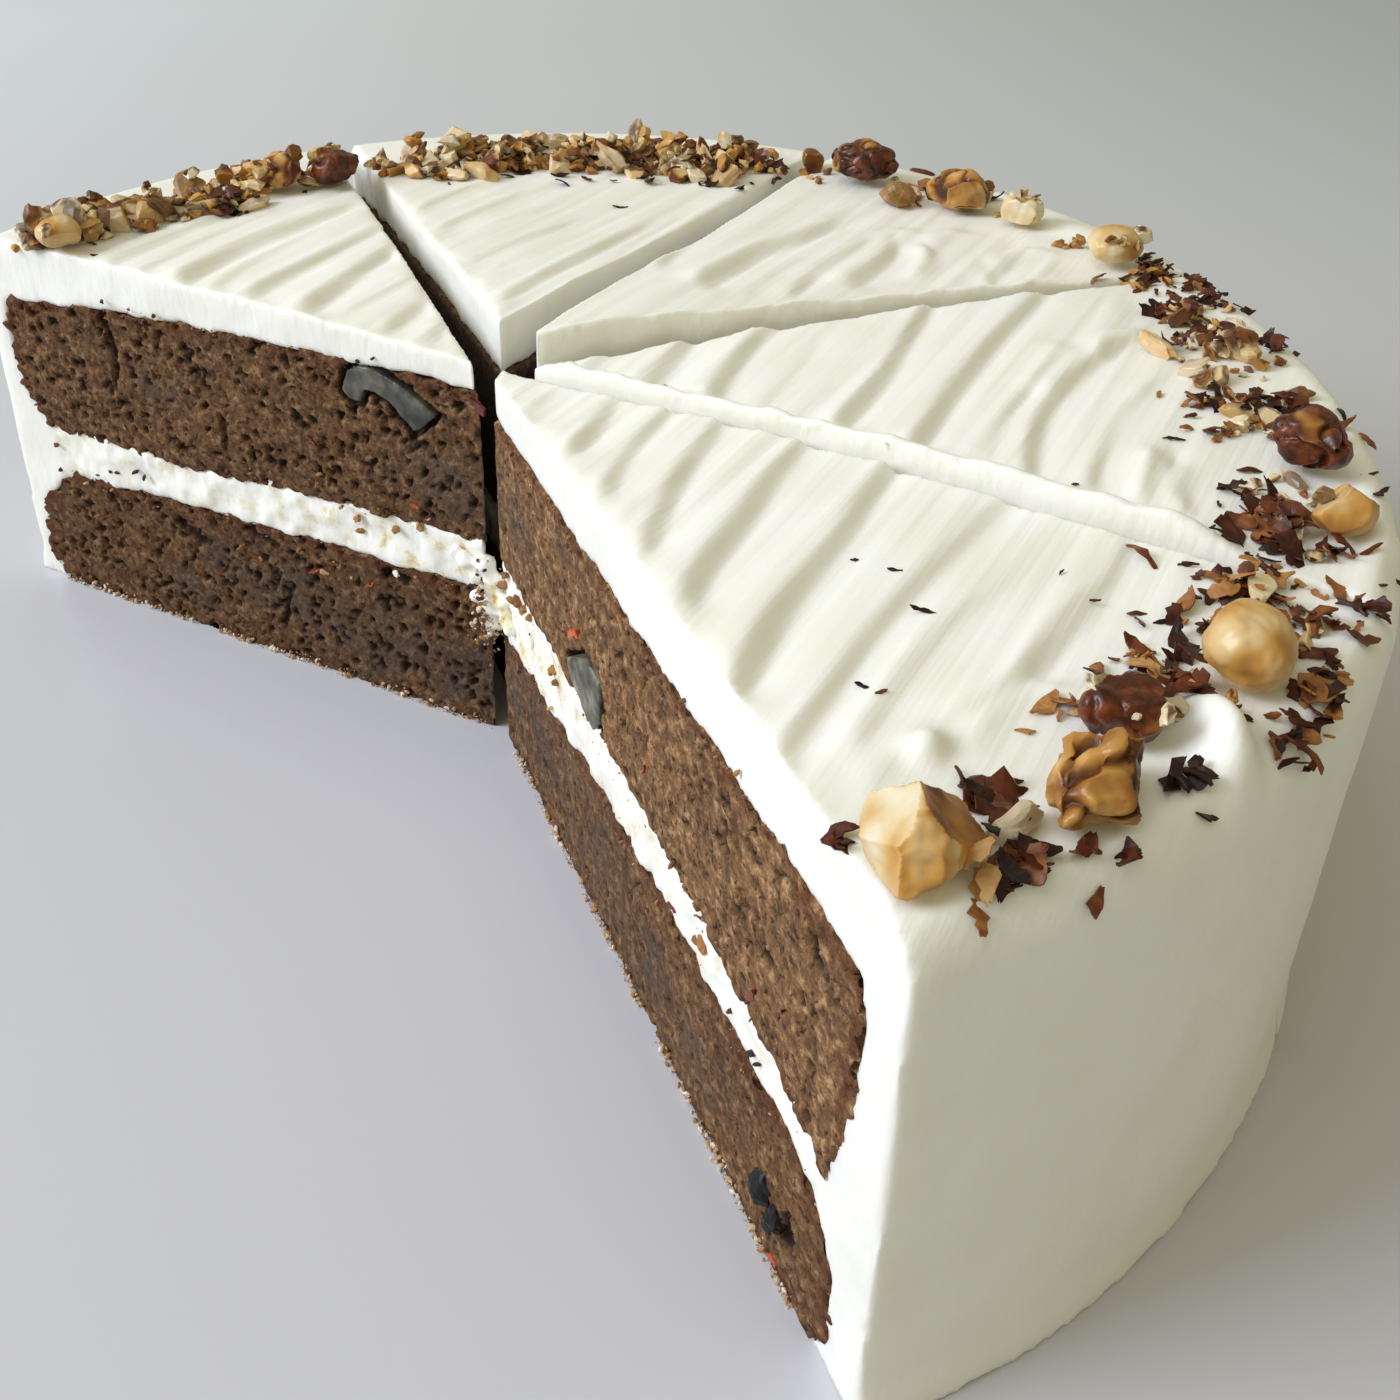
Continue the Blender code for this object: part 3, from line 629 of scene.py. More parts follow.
def roughen(name, points, normals):
    """Ripple the side wall, and roughen the cream against the sponge and in the cuts.

    Returns how far each point belongs to the filling, from 0 to 1.
    """
    radius = np.hypot(points[:, 0], points[:, 1])
    swell = 0.45 * grain(points, 26.0, 30.0) + 0.12 * grain(points, 7.0, 33.0)
    swell *= soft_step(radius, WALL, WALL + 2.0)
    points[:, :2] += (points[:, :2] / radius[:, None]) * swell[:, None]
    within = soft_step(99.0 - radius, 0.0, 1.5) * (points[:, 2] < FILLING_TOP)
    under_top = np.clip(-normals[:, 2] * 2.0, 0.0, 1.0) * (points[:, 2] > FILLING_TOP)
    ragged = 0.45 * grain(points, 1.5, 41.0) + 0.65 * grain(points, 4.2, 44.0)
    points += normals * (ragged * np.maximum(under_top, within))[:, None]
    for side in ("left", "right"):
        face = from_cut(points, name, side)[0] < 0.5
        rough = 0.16 * grain(points, 1.6, 51.0, (1.0, 1.0, 0.5)) + 0.22 * grain(points, 6.0, 54.0)
        rough *= np.where(within > 0.5, 2.2, 0.8)
        points[:, :2] += cut_frame(name, side)[2] * np.where(face, 0.42 + rough, 0.0)[:, None]
    points[:, 2] = np.maximum(points[:, 2], 0.0)
    return within


creams = {}
for name in CUTS:
    piece = copy_solids(["frosting_" + name, "filling_" + name], "cream_" + name, 0.0, 0.70 * MM)
    points, normals = read_points(piece)
    high = np.flatnonzero(points[:, 2] > RESHAPED_FROM)
    points[high, 2] = comb(name, points[high], normals[high, 2])
    within = roughen(name, points, normals)
    write_points(piece, points)
    even_out(piece, 4)
    near_tip = np.exp(-(np.hypot(points[:, 0] + 10.0, points[:, 1]) / 30.0) ** 2)
    keep_value(piece, "filling", within * (0.35 + 0.65 * near_tip))
    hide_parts("frosting_" + name, "filling_" + name)
    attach(piece, "root")
    creams[name] = piece

# Cream cheese frosting: soft, dense and faintly glossy, with light glowing a little way into it.
# The filling is the same cream, yellower where sponge has soaked it; streaks run with the combing
cream_look = Look("cream_cheese_frosting", Roughness=0.42, Specular_IOR_Level=0.42,
                  Subsurface_Weight=0.35, Subsurface_Radius=(1.0, 0.85, 0.55),
                  Subsurface_Scale=2.2 * MM)
where = cream_look.where()
cream = cream_look.ramp(cream_look.noise(where, 60.0, 2.0), (0.35, "F1F0E5"), (0.65, "F6F5ED"))
soaked = cream_look.ramp(cream_look.noise(where, 260.0, 4.0, 0.65), (0.31, "BC9455"),
                         (0.40, "EBDDB2"), (0.48, "FBFAF0"))
cream_look.use("Base Color", cream_look.mix(cream_look.kept("filling"), cream, soaked))
straight = cream_look.node("VectorRotate", {"Vector": where, "Angle": math.radians(90 - COMBING)},
                           rotation_type="Z_AXIS")
combing = cream_look.node("Mapping", {"Vector": straight.outputs[0],
                                      "Scale": (1000.0, 26.0, 300.0)})
streaks = cream_look.noise(combing.outputs[0], 1.0, 2.0)
cream_look.use("Normal", cream_look.bump(streaks, 0.26, 0.5))
for piece in creams.values():
    piece.data.materials.append(cream_look.material)

# Walnuts on the rim
# Thirteen halves and lumps of walnut pressed into the frosting, each a copy of its solid on a
# fine grid with a kernel's folds and a few flat breaks; some keep their papery brown skin.
# For each: depth and width of the folds, how lumpy, share of skin, how amber, number of breaks
# made at random, and how round it is
WALNUTS = {
    "01": (0.15, 4.4, 0.9, 0.04, 0.40, 0, 0.0), "02": (1.20, 4.2, 1.3, 0.12, 0.60, 0, 0.6),
    "03": (0.40, 2.6, 0.9, 1.00, 0.60, 0, 0.3), "04": (0.00, 6.0, 0.5, 0.00, 0.45, 0, 0.8),
    "05": (0.00, 4.5, 0.5, 0.04, 0.54, 0, 0.5), "06": (1.10, 4.0, 0.9, 0.84, 0.84, 0, 0.7),
    "07": (0.00, 5.0, 0.3, 0.02, 0.30, 0, 0.9), "08": (0.35, 3.2, 0.6, 0.20, 0.10, 3, 0.5),
    "09": (0.50, 3.4, 0.9, 0.34, 0.60, 2, 0.6), "10": (0.95, 3.0, 0.9, 0.80, 0.60, 0, 0.8),
    "11": (0.35, 3.0, 0.6, 1.00, 0.60, 1, 0.6), "12": (0.40, 3.0, 0.7, 0.45, 0.55, 1, 0.7),
    "13": (0.12, 4.0, 0.4, 0.10, 0.40, 1, 0.8),
}
# Breaks that are set one by one: the bearing and rise each faces, how far out, and its tone
BREAKS = {
    "01": ((182, 42, 0.20, -0.22), (4, 48, 0.19, 0.34), (-95, 16, 0.31, 0.02),
           (-150, 6, 0.31, -0.14), (-34, 8, 0.31, 0.26), (90, 30, 0.30, 0.0)),
    "02": ((-15, 8, 0.27, 0.36), (-75, 18, 0.40, 0.10), (80, 40, 0.30, -0.05)),
    "05": ((150, 38, 0.22, -0.10), (20, 50, 0.30, 0.10), (-110, 25, 0.33, 0.04)),
    "03": ((0, 86, 0.20, 0.20), (-80, 30, 0.36, 0.10)),
}


# The walnut that keeps its skin on its breaks too
WHOLE_SKIN = "03"


def facing(bearing, rise):
    """The direction at a bearing and a rise above the level, both in degrees."""
    turn, tilt = math.radians(bearing), math.radians(rise)
    return np.array([math.cos(tilt) * math.cos(turn), math.cos(tilt) * math.sin(turn),
                     math.sin(tilt)])


def chance_breaks(count, rng, room):
    """Breaks at random: which way each faces, how far out it is, and its tone."""
    breaks = []
    for _ in range(count):
        across = np.array([rng.gauss(0, 1), rng.gauss(0, 1), rng.gauss(0, 0.8)])
        breaks.append((across / np.linalg.norm(across), rng.uniform(*room),
                       rng.uniform(-0.22, 0.22)))
    return breaks


def break_off(points, middle, size, breaks):
    """Cut a lump by flat breaks; returns its points, which lie on a break, and their tones."""
    broken = np.zeros(len(points), bool)
    tone = np.zeros(len(points))
    for across, reach, shade in breaks:
        over = (points - middle) @ across - size * reach
        points = points - np.outer(np.clip(over, 0.0, None), across)
        broken |= over > 0.0
        tone = np.where(over > 0.0, shade, tone)
    return points, broken, tone


def rounded(points, middle, share):
    """A lump's points taken part of the way to an even oval of its own spread."""
    from_middle = points - middle
    shape = np.linalg.inv(np.cov(from_middle.T))
    stretch = np.sqrt(np.einsum("ij,jk,ik->i", from_middle, shape, from_middle))
    oval = middle + from_middle * (stretch.mean() / stretch)[:, None]
    return points + (oval - points) * share


walnuts = []
rng = random.Random(23)
for number, (fold_depth, fold_width, lumpy, skinned, amber, breaks, roundness) in WALNUTS.items():
    piece = copy_solids(["rim_walnut_" + number], "kernel_" + number, 0.1 * MM, 0.28 * MM)
    points, normals = read_points(piece)
    seed = 3.0 * float(number)
    middle = (points.max(0) + points.min(0)) / 2.0
    points = rounded(points, middle, roundness)
    size = np.ptp(points, axis=0).max()
    breaks = chance_breaks(breaks, rng, (0.25, 0.42))
    breaks += [(facing(bearing, rise), reach, shade)
               for bearing, rise, reach, shade in BREAKS.get(number, ())]
    points, broken, tone = break_off(points, middle, size, breaks)
    points += normals * (lumpy * grain(points, 3.6, seed) * np.where(broken, 0.5, 1.0))[:, None]
    folds = np.clip(1.0 - np.abs(grain(points, fold_width, seed + 5.0)) * 4.5, 0.0, 1.0)
    folds *= np.where(broken, 0.35, 1.0) * min(1.0, fold_depth * 3.0)
    points -= normals * (fold_depth * folds)[:, None]
    points += normals * (0.16 * grain(points, 1.0, seed + 8.0))[:, None]
    write_points(piece, points)
    limit = 0.62 - 1.25 * skinned
    skin = soft_step(grain(points, 4.2, seed + 11.0) - 0.25 * folds, limit, limit + 0.22)
    keep_value(piece, "skin", skin * np.where(broken & (number != WHOLE_SKIN), 0.45, 1.0))
    keep_value(piece, "fold", folds)
    keep_value(piece, "amber", amber + tone + 0.36 * grain(points, 3.0, seed) + 0.35 * folds)
    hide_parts("rim_walnut_" + number)
    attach(piece, "root")
    walnuts.append(piece)

# Walnut: oily cream to amber flesh under a thin red-brown skin that gathers dark in the folds
walnut_look = Look("walnut_flesh_and_skin", Roughness=0.33, Specular_IOR_Level=0.38,
                   Subsurface_Weight=0.25, Subsurface_Radius=(1.0, 0.55, 0.25),
                   Subsurface_Scale=1.2 * MM)
mottle = walnut_look.noise(walnut_look.where(), 420.0, 4.0, 0.6)
flesh = walnut_look.ramp(walnut_look.kept("amber"), (0.0, "E2D4B6"), (0.26, "D8BC88"),
                         (0.52, "C49248"), (0.78, "8C5824"), (1.0, "4A2610"))
skin = walnut_look.ramp(mottle, (0.32, "260F08"), (0.5, "54220D"), (0.68, "824522"))
coat = walnut_look.mix(walnut_look.kept("skin"), flesh, skin)
in_folds = walnut_look.span(walnut_look.kept("fold"), 0.45, 1.0, 0.0, 0.55)
walnut_look.use("Base Color", walnut_look.mix(in_folds, coat, "4A2610"))
walnut_look.use("Normal", walnut_look.bump(mottle, 0.35, 0.25))
for piece in walnuts:
    piece.data.materials.append(walnut_look.material)

# Baked walnuts
# Two pieces of walnut inside the upper sponge, sliced through by the knife and baked grey. Each
# is its cut outline drawn 4.5 mm into the slice, rounded on a fine grid.
NEAR, FAR = 0.15, 4.65
baked = []
for layer, outline in BAKED.items():
    name = layer[-1]
    side = OPEN_CUTS[name]
    tip, along, inward = cut_frame(name, side)
    count = len(outline)
    corners = [tuple(np.append(tip + along * out + inward * depth, height) * MM)
               for depth in (NEAR, FAR) for out, height in outline]
    ends = [tuple(range(count))[::-1], tuple(range(count, 2 * count))]
    sides = [(at, (at + 1) % count, (at + 1) % count + count, at + count) for at in range(count)]
    mesh = bpy.data.meshes.new("sliced_kernel_" + side)
    mesh.from_pydata(corners, [], ends + sides)
    piece = bpy.data.objects.new("sliced_kernel_" + side, mesh)
    bpy.context.scene.collection.objects.link(piece)
    bpy.ops.object.select_all(action="DESELECT")
    piece.select_set(True)
    bpy.context.view_layer.objects.active = piece
    bpy.ops.object.mode_set(mode="EDIT")
    bpy.ops.mesh.select_all(action="SELECT")
    bpy.ops.mesh.normals_make_consistent(inside=False)
    bpy.ops.object.mode_set(mode="OBJECT")
    remesh(piece, 0.25 * MM)
    even_out(piece, 4)
    points, normals = read_points(piece)
    rough = 0.14 * grain(points, 1.4, 61.0) + 0.16 * grain(points, 3.0, 63.0)
    points += normals * rough[:, None]
    write_points(piece, points)
    # The piece in the left cut is darkened as painted shade, like the rest of that cut
    keep_value(piece, "dark", np.full(len(points), 0.55 if side == "left" else 0.0))
    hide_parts(BAKED_NODES[layer])
    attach(piece, "root")
    baked.append(piece)

# Baked walnut: a smooth, moist, slate-grey cut with lighter veins a millimetre or two apart, with
# painted shade making the piece in the left cut darker than the other
baked_look = Look("baked_walnut", Roughness=0.4)
slate = baked_look.ramp(baked_look.noise(baked_look.where(), 330.0, 3.0), (0.34, "3B3A34"),
                        (0.5, "62604F"), (0.68, "949180"))
baked_look.use("Base Color", baked_look.mix(baked_look.kept("dark"), slate, "1E1D1A"))
for piece in baked:
    piece.data.materials.append(baked_look.material)

# Chopped walnuts
# Walnut chopped by a knife, strewn round the rim and heaped where it fell thickest. Each chip is
# a lumpy ball cut by flat breaks, settled on what lies under it.
# The ground they settle on is a square grid of heights, in millimetres
CELL, HALF_GROUND = 0.5, 120.0
CELLS = int(2 * HALF_GROUND / CELL)
# No topping may reach above this
HIGHEST = 75.0
ground = np.full((CELLS, CELLS), -1000.0)


def cells(values):
    """The rows or columns of the ground's grid that these places fall in."""
    return np.clip(((values + HALF_GROUND) / CELL).astype(int), 0, CELLS - 1)

for piece in list(creams.values()) + walnuts:
    points = read_points(piece)[0]
    np.maximum.at(ground, (cells(points[:, 0]), cells(points[:, 1])), points[:, 2])
for axis, step in ((0, 1), (0, -1), (1, 1), (1, -1)):
    ground = np.where(ground < 0.0, np.roll(ground, step, axis), ground)


def settle(x, y, reach, height, rise_limit):
    """Lay something on the ground at x, y; returns its resting height, or None when too high."""
    column, row, span = int(cells(np.array(x))), int(cells(np.array(y))), max(1, int(reach / CELL))
    patch = np.s_[column - span:column + span + 1, row - span:row + span + 1]
    rest = float(np.percentile(ground[patch], 55))
    if rest < TOP - 3.0 or rest > TOP + rise_limit:
        return None
    over, up = np.meshgrid(np.arange(-span, span + 1), np.arange(-span, span + 1), indexing="ij")
    away = over ** 2 + up ** 2
    dome = rest + height * np.sqrt(np.clip(1.0 - away / (span + 0.5) ** 2, 0, 1))
    ground[patch] = np.where(away <= span ** 2, np.maximum(ground[patch], dome), ground[patch])
    return rest


def ball_mesh(segments, rings):
    """The points and faces of a unit ball."""
    bpy.ops.object.select_all(action="DESELECT")
    bpy.ops.mesh.primitive_uv_sphere_add(segments=segments, ring_count=rings, radius=1.0)
    ball = bpy.context.active_object
    points = np.array([vert.co[:] for vert in ball.data.vertices])
    faces = [tuple(face.vertices) for face in ball.data.polygons]
    bpy.data.objects.remove(ball)
    return points, faces


def turned(points, rng, tilt=math.pi):
    """Points turned at random: freely about the upright, and by up to tilt off it."""
    turn = Matrix.Rotation(rng.uniform(0, 2 * math.pi), 3, "Z")
    lean = Matrix.Rotation(rng.uniform(-tilt, tilt), 3, "X")
    spin = Matrix.Rotation(rng.uniform(0, 2 * math.pi), 3, "Z")
    return points @ np.array(turn @ lean @ spin).T


class Heap:
    """Many small things gathered into one mesh, with numbers kept at every point."""

    def __init__(self):
        self.points, self.faces, self.values, self.count = [], [], {}, 0

    def add(self, points, faces, **values):
        self.faces += [tuple(corner + self.count for corner in face) for face in faces]
        self.points.append(points)
        self.count += len(points)
        for name, value in values.items():
            self.values.setdefault(name, []).append(np.broadcast_to(value, len(points)))

    def build(self, name, look):
        mesh = bpy.data.meshes.new(name)
        mesh.from_pydata((np.concatenate(self.points) * MM).tolist(), [], self.faces)
        piece = bpy.data.objects.new(name, mesh)
        bpy.context.scene.collection.objects.link(piece)
        for value_name, values in self.values.items():
            keep_value(piece, value_name, np.concatenate(values))
        mesh.materials.append(look.material)
        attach(piece, "root")
        return piece


chip_ball, chip_faces = ball_mesh(8, 6)
lump_ball, lump_faces = ball_mesh(16, 12)


def chip(rng, size, fine=False):
    """One chopped piece in millimetres: its points, faces, skin and height."""
    ball = lump_ball if fine else chip_ball
    points = ball * (0.5 * size * np.array([rng.uniform(1.0, 1.3), rng.uniform(0.6, 0.95),
                                            rng.uniform(0.34, 0.62)]))
    points = points * (1.0 + 0.55 * grain(ball, 0.8, rng.uniform(0, 99)))[:, None]
    breaks = chance_breaks(rng.randint(2, 4), rng, (0.12, 0.30))
    points, broken, tone = break_off(points, np.zeros(3), size, breaks)
    skin = np.where(broken, 0.0, 1.0) * (rng.random() < 0.75) * rng.uniform(0.7, 1.0)
    points = turned(points, rng, 1.1)
    return points, lump_faces if fine else chip_faces, skin, tone, np.ptp(points[:, 2])


# Stretches of rim: bearings, radii, chips, least and greatest size, how amber at the least
# and at the most
STRETCHES = (
    (163.0, 150.0, 85.0, 97.0, 96, 2.2, 5.6, 0.05, 0.70),
    (150.0, 133.0, 80.0, 94.5, 112, 2.2, 5.4, 0.05, 0.80),
    (133.0, 117.5, 80.0, 91.0, 60, 2.0, 5.0, 0.20, 0.90),
    (115.5, 95.0, 75.5, 92.0, 160, 2.2, 5.8, 0.05, 0.85),
    (95.0, 73.0, 75.0, 93.0, 170, 2.2, 5.8, 0.05, 0.85),
    (73.0, 62.5, 82.0, 93.0, 14, 2.0, 4.4, 0.20, 0.85),
    (60.0, 36.0, 87.0, 98.0, 14, 1.4, 3.0, 0.10, 0.70),
    (33.0, 8.0, 88.5, 102.0, 60, 1.4, 3.6, 0.05, 0.75),
    (12.0, -14.0, 85.0, 100.0, 60, 1.4, 4.0, 0.05, 0.75),
    (-14.0, -26.0, 88.0, 100.0, 22, 1.4, 3.4, 0.10, 0.75),
    (-28.5, -38.0, 89.0, 101.0, 46, 1.4, 3.8, 0.15, 0.75),
    (-38.0, -62.0, 90.0, 102.0, 14, 1.2, 3.0, 0.10, 0.75),
)
# Larger single pieces in millimetres: x, y, size, how amber
LARGER = (
    (-79.5, 36.3, 6.2, 0.35), (-76.2, 41.2, 6.4, 0.05), (-87.6, 40.0, 6.6, 0.60),
    (-88.0, 47.0, 4.2, 0.80), (-83.6, 45.1, 5.4, 0.10), (-78.5, 49.5, 5.6, 0.15),
    (-72.3, 46.3, 5.8, 0.45), (-87.0, 28.2, 6.0, 0.10), (-69.5, 58.0, 7.4, 0.40),
    (-63.3, 49.7, 4.6, 0.95), (-57.7, 53.7, 5.4, 0.15), (-51.6, 76.3, 6.2, 0.65),
    (-38.1, 73.3, 6.4, 0.60), (-36.6, 79.2, 6.0, 0.05), (-28.2, 79.0, 5.8, 0.30),
    (-26.9, 71.8, 4.6, 0.10), (-22.5, 72.3, 5.4, 0.30), (-24.3, 83.5, 5.6, 0.55),
    (-20.6, 83.9, 5.4, 0.95), (-16.6, 82.0, 5.4, 0.95), (-14.2, 86.7, 6.2, 0.00),
    (-9.8, 87.0, 6.6, 0.05), (-6.4, 81.4, 6.0, 0.45), (0.3, 79.3, 7.6, 0.15),
    (-2.6, 90.8, 4.6, 0.95), (5.3, 86.9, 5.6, 0.60), (9.8, 89.2, 5.4, 0.70),
    (12.9, 83.6, 6.2, 0.05), (15.0, 77.4, 4.6, 0.00), (16.9, 84.1, 5.0, 0.95),
    (20.2, 87.4, 5.6, 0.50), (21.4, 75.9, 5.6, 0.30), (24.8, 90.9, 7.0, 0.65),
    (29.5, 83.6, 4.6, 0.90), (37.7, 83.3, 6.8, 0.80), (57.2, 88.4, 4.6, 0.85),
    (52.7, 67.2, 6.4, 0.45), (66.6, 70.0, 5.6, 0.00), (83.0, 10.6, 5.4, 0.25),
    (88.0, 19.4, 5.2, 0.85), (94.4, 9.6, 5.2, 0.30), (85.6, 3.6, 4.6, 0.10),
    (88.6, -8.6, 5.2, 0.30), (59.0, -67.4, 5.0, 0.15), (65.6, -68.6, 5.6, 0.05),
    (47.8, -86.2, 5.0, 0.10), (79.6, -49.4, 4.4, 0.20),
)
chips = Heap()
rng = random.Random(37)
for x, y, size, amber in LARGER:
    points, faces, skin, tone, height = chip(rng, size, fine=True)
    rest = settle(x, y, size * 0.30, height * 0.8, 5.5)
    if rest is not None:
        chips.add(points + (x, y, rest + 0.30 * height), faces, skin=skin * min(1.0, 0.2 + amber),
                  fold=0.0, amber=amber + tone + 0.2 * grain(points, 2.0, size))
for start, end, inner, outer, count, least, most, pale, deep in STRETCHES:
    for _ in range(count):
        size = least + (most - least) * rng.random() ** 1.6
        along = axes(rng.uniform(start, end))[0]
        x, y = along * (inner + (outer - inner) * (rng.random() + rng.random()) / 2.0)
        points, faces, skin, tone, height = chip(rng, size)
        rest = settle(x, y, size * 0.30, height * 0.75, 5.2)
        if rest is None or rest + 0.85 * height > HIGHEST:
            continue
        chips.add(points + (x, y, rest + 0.30 * height), faces, skin=skin, fold=0.0,
                  amber=tone + pale - 0.1 + (deep - pale) * rng.random())
chips.build("chopped_walnuts", walnut_look)

# Skin flakes and shavings
# Papery flakes of walnut skin, dark to pinkish tan, bent and ragged, lying singly on the
# frosting and in clusters between the nuts on the near side.
LONG_STEPS, WIDE_STEPS = 6, 3


def flake(rng, length, width, curl, thickness=0.18):
    """A thin bent flake with a ragged outline, closed on all sides, in millimetres."""
    rows, row = LONG_STEPS + 1, WIDE_STEPS + 1
    across, along = np.meshgrid(np.linspace(-1, 1, row), np.linspace(-1, 1, rows))
    ragged = np.array([rng.uniform(0.28, 1.0) for _ in range(rows)])
    ragged *= np.clip(1.25 - np.abs(np.linspace(-1, 1, rows)), 0.12, 1.0)
    shift = np.cumsum([rng.uniform(-0.26, 0.26) for _ in range(rows)])
    jitter = np.array([rng.uniform(-0.12, 0.12) for _ in range(rows * row)])
    x = (along.ravel() + jitter) * length * 0.5
    y = (across * ragged[:, None] + shift[:, None]).ravel() * width * 0.5
    turn = x / curl
    warp = 0.22 * grain(np.column_stack([x, y, x * 0.0]), 1.6, rng.uniform(0, 99))
    sheet = np.column_stack([curl * np.sin(turn), y, curl * (1.0 - np.cos(turn)) + warp])
    points = np.concatenate([sheet, sheet - (0, 0, thickness)])
    count = len(sheet)
    faces = []
    for step in range(LONG_STEPS):
        for side in range(WIDE_STEPS):
            a = step * row + side
            b = a + count
            faces += [(a, a + 1, a + row + 1, a + row), (b, b + row, b + row + 1, b + 1)]
    rim = list(range(row)) + [step * row + WIDE_STEPS for step in range(1, rows)]
    rim += [LONG_STEPS * row + side for side in range(WIDE_STEPS - 1, -1, -1)]
    rim += [step * row for step in range(LONG_STEPS - 1, 0, -1)]
    for corner, following in zip(rim, rim[1:] + rim[:1]):
        faces.append((following, corner, corner + count, following + count))
    return points, faces

# Clusters: x, y, spread, count, least and greatest length, how dark at the least and the most
CLUSTERS = (
    (68.8, -62.8, 2.6, 26, 2.0, 5.0, 0.55, 1.0), (64.4, -63.6, 2.4, 16, 2.0, 4.4, 0.2, 0.9),
    (76.0, -70.2, 2.6, 26, 1.6, 4.0, 0.45, 1.0), (80.6, -60.6, 2.0, 20, 1.8, 4.6, 0.3, 1.0),
    (79.4, -67.0, 2.4, 10, 2.6, 5.2, 0.3, 0.9), (76.2, -52.4, 3.4, 26, 2.0, 4.6, 0.25, 0.9),
    (81.6, -47.0, 3.2, 26, 2.0, 4.4, 0.25, 0.9), (87.0, -51.0, 2.8, 16, 1.8, 4.0, 0.25, 0.9),
    (85.6, -35.6, 2.6, 32, 2.0, 5.0, 0.5, 1.0), (89.0, -39.6, 2.6, 20, 1.8, 4.4, 0.45, 1.0),
    (91.4, -31.6, 1.8, 8, 1.8, 4.0, 0.4, 1.0), (84.2, -29.4, 1.6, 8, 1.6, 3.6, 0.6, 1.0),
    (97.0, -7.6, 3.0, 28, 2.4, 5.4, 0.45, 1.0), (91.4, -5.0, 3.0, 20, 1.8, 4.0, 0.4, 1.0),
    (86.8, -6.4, 2.2, 12, 1.6, 3.6, 0.3, 0.9), (85.4, -13.0, 2.0, 8, 1.6, 3.6, 0.1, 0.8),
    (98.6, 14.6, 2.8, 22, 1.8, 4.2, 0.5, 1.0), (91.0, 17.4, 3.2, 20, 2.0, 4.6, 0.4, 1.0),
    (95.0, 27.6, 3.0, 26, 1.8, 3.8, 0.5, 1.0), (91.6, 37.4, 3.2, 42, 1.6, 3.6, 0.5, 1.0),
    (87.6, 42.0, 2.2, 16, 1.6, 3.4, 0.5, 1.0), (86.8, 25.0, 1.6, 6, 2.0, 4.4, 0.5, 1.0),
    (47.4, -82.8, 1.5, 16, 2.0, 4.8, 0.5, 1.0), (47.4, -89.4, 1.7, 14, 2.0, 4.6, 0.5, 1.0),
    (43.6, -93.0, 1.2, 4, 2.4, 4.6, 0.1, 0.5), (34.0, -88.0, 0.6, 3, 3.4, 4.8, 0.6, 0.9),
    (53.4, -87.4, 1.2, 9, 2.4, 4.4, 0.3, 0.7), (57.4, -87.2, 0.8, 5, 2.2, 4.0, 0.6, 1.0),
    (64.4, -78.6, 1.1, 6, 2.4, 4.2, 0.9, 1.0), (56.0, -69.4, 0.9, 4, 2.8, 4.4, 0.1, 0.5),
    (-45.0, 69.0, 3.0, 20, 2.0, 4.4, 0.6, 1.0), (-62.0, 53.0, 2.6, 26, 1.8, 3.6, 0.6, 1.0),
    (-29.0, 76.0, 3.2, 24, 1.8, 3.8, 0.6, 1.0), (-17.0, 80.0, 3.2, 26, 1.8, 4.0, 0.6, 1.0),
    (3.0, 80.0, 4.0, 30, 1.8, 3.8, 0.6, 1.0), (19.0, 80.0, 3.6, 28, 1.8, 4.4, 0.6, 1.0),
    (30.0, 82.6, 1.6, 8, 2.0, 4.6, 0.7, 1.0), (54.6, 70.4, 2.6, 10, 2.2, 5.0, 0.2, 0.9),
    (-72.0, 52.0, 3.0, 10, 1.8, 3.6, 0.5, 1.0), (-82.0, 40.0, 3.4, 20, 1.8, 3.4, 0.6, 1.0),
)
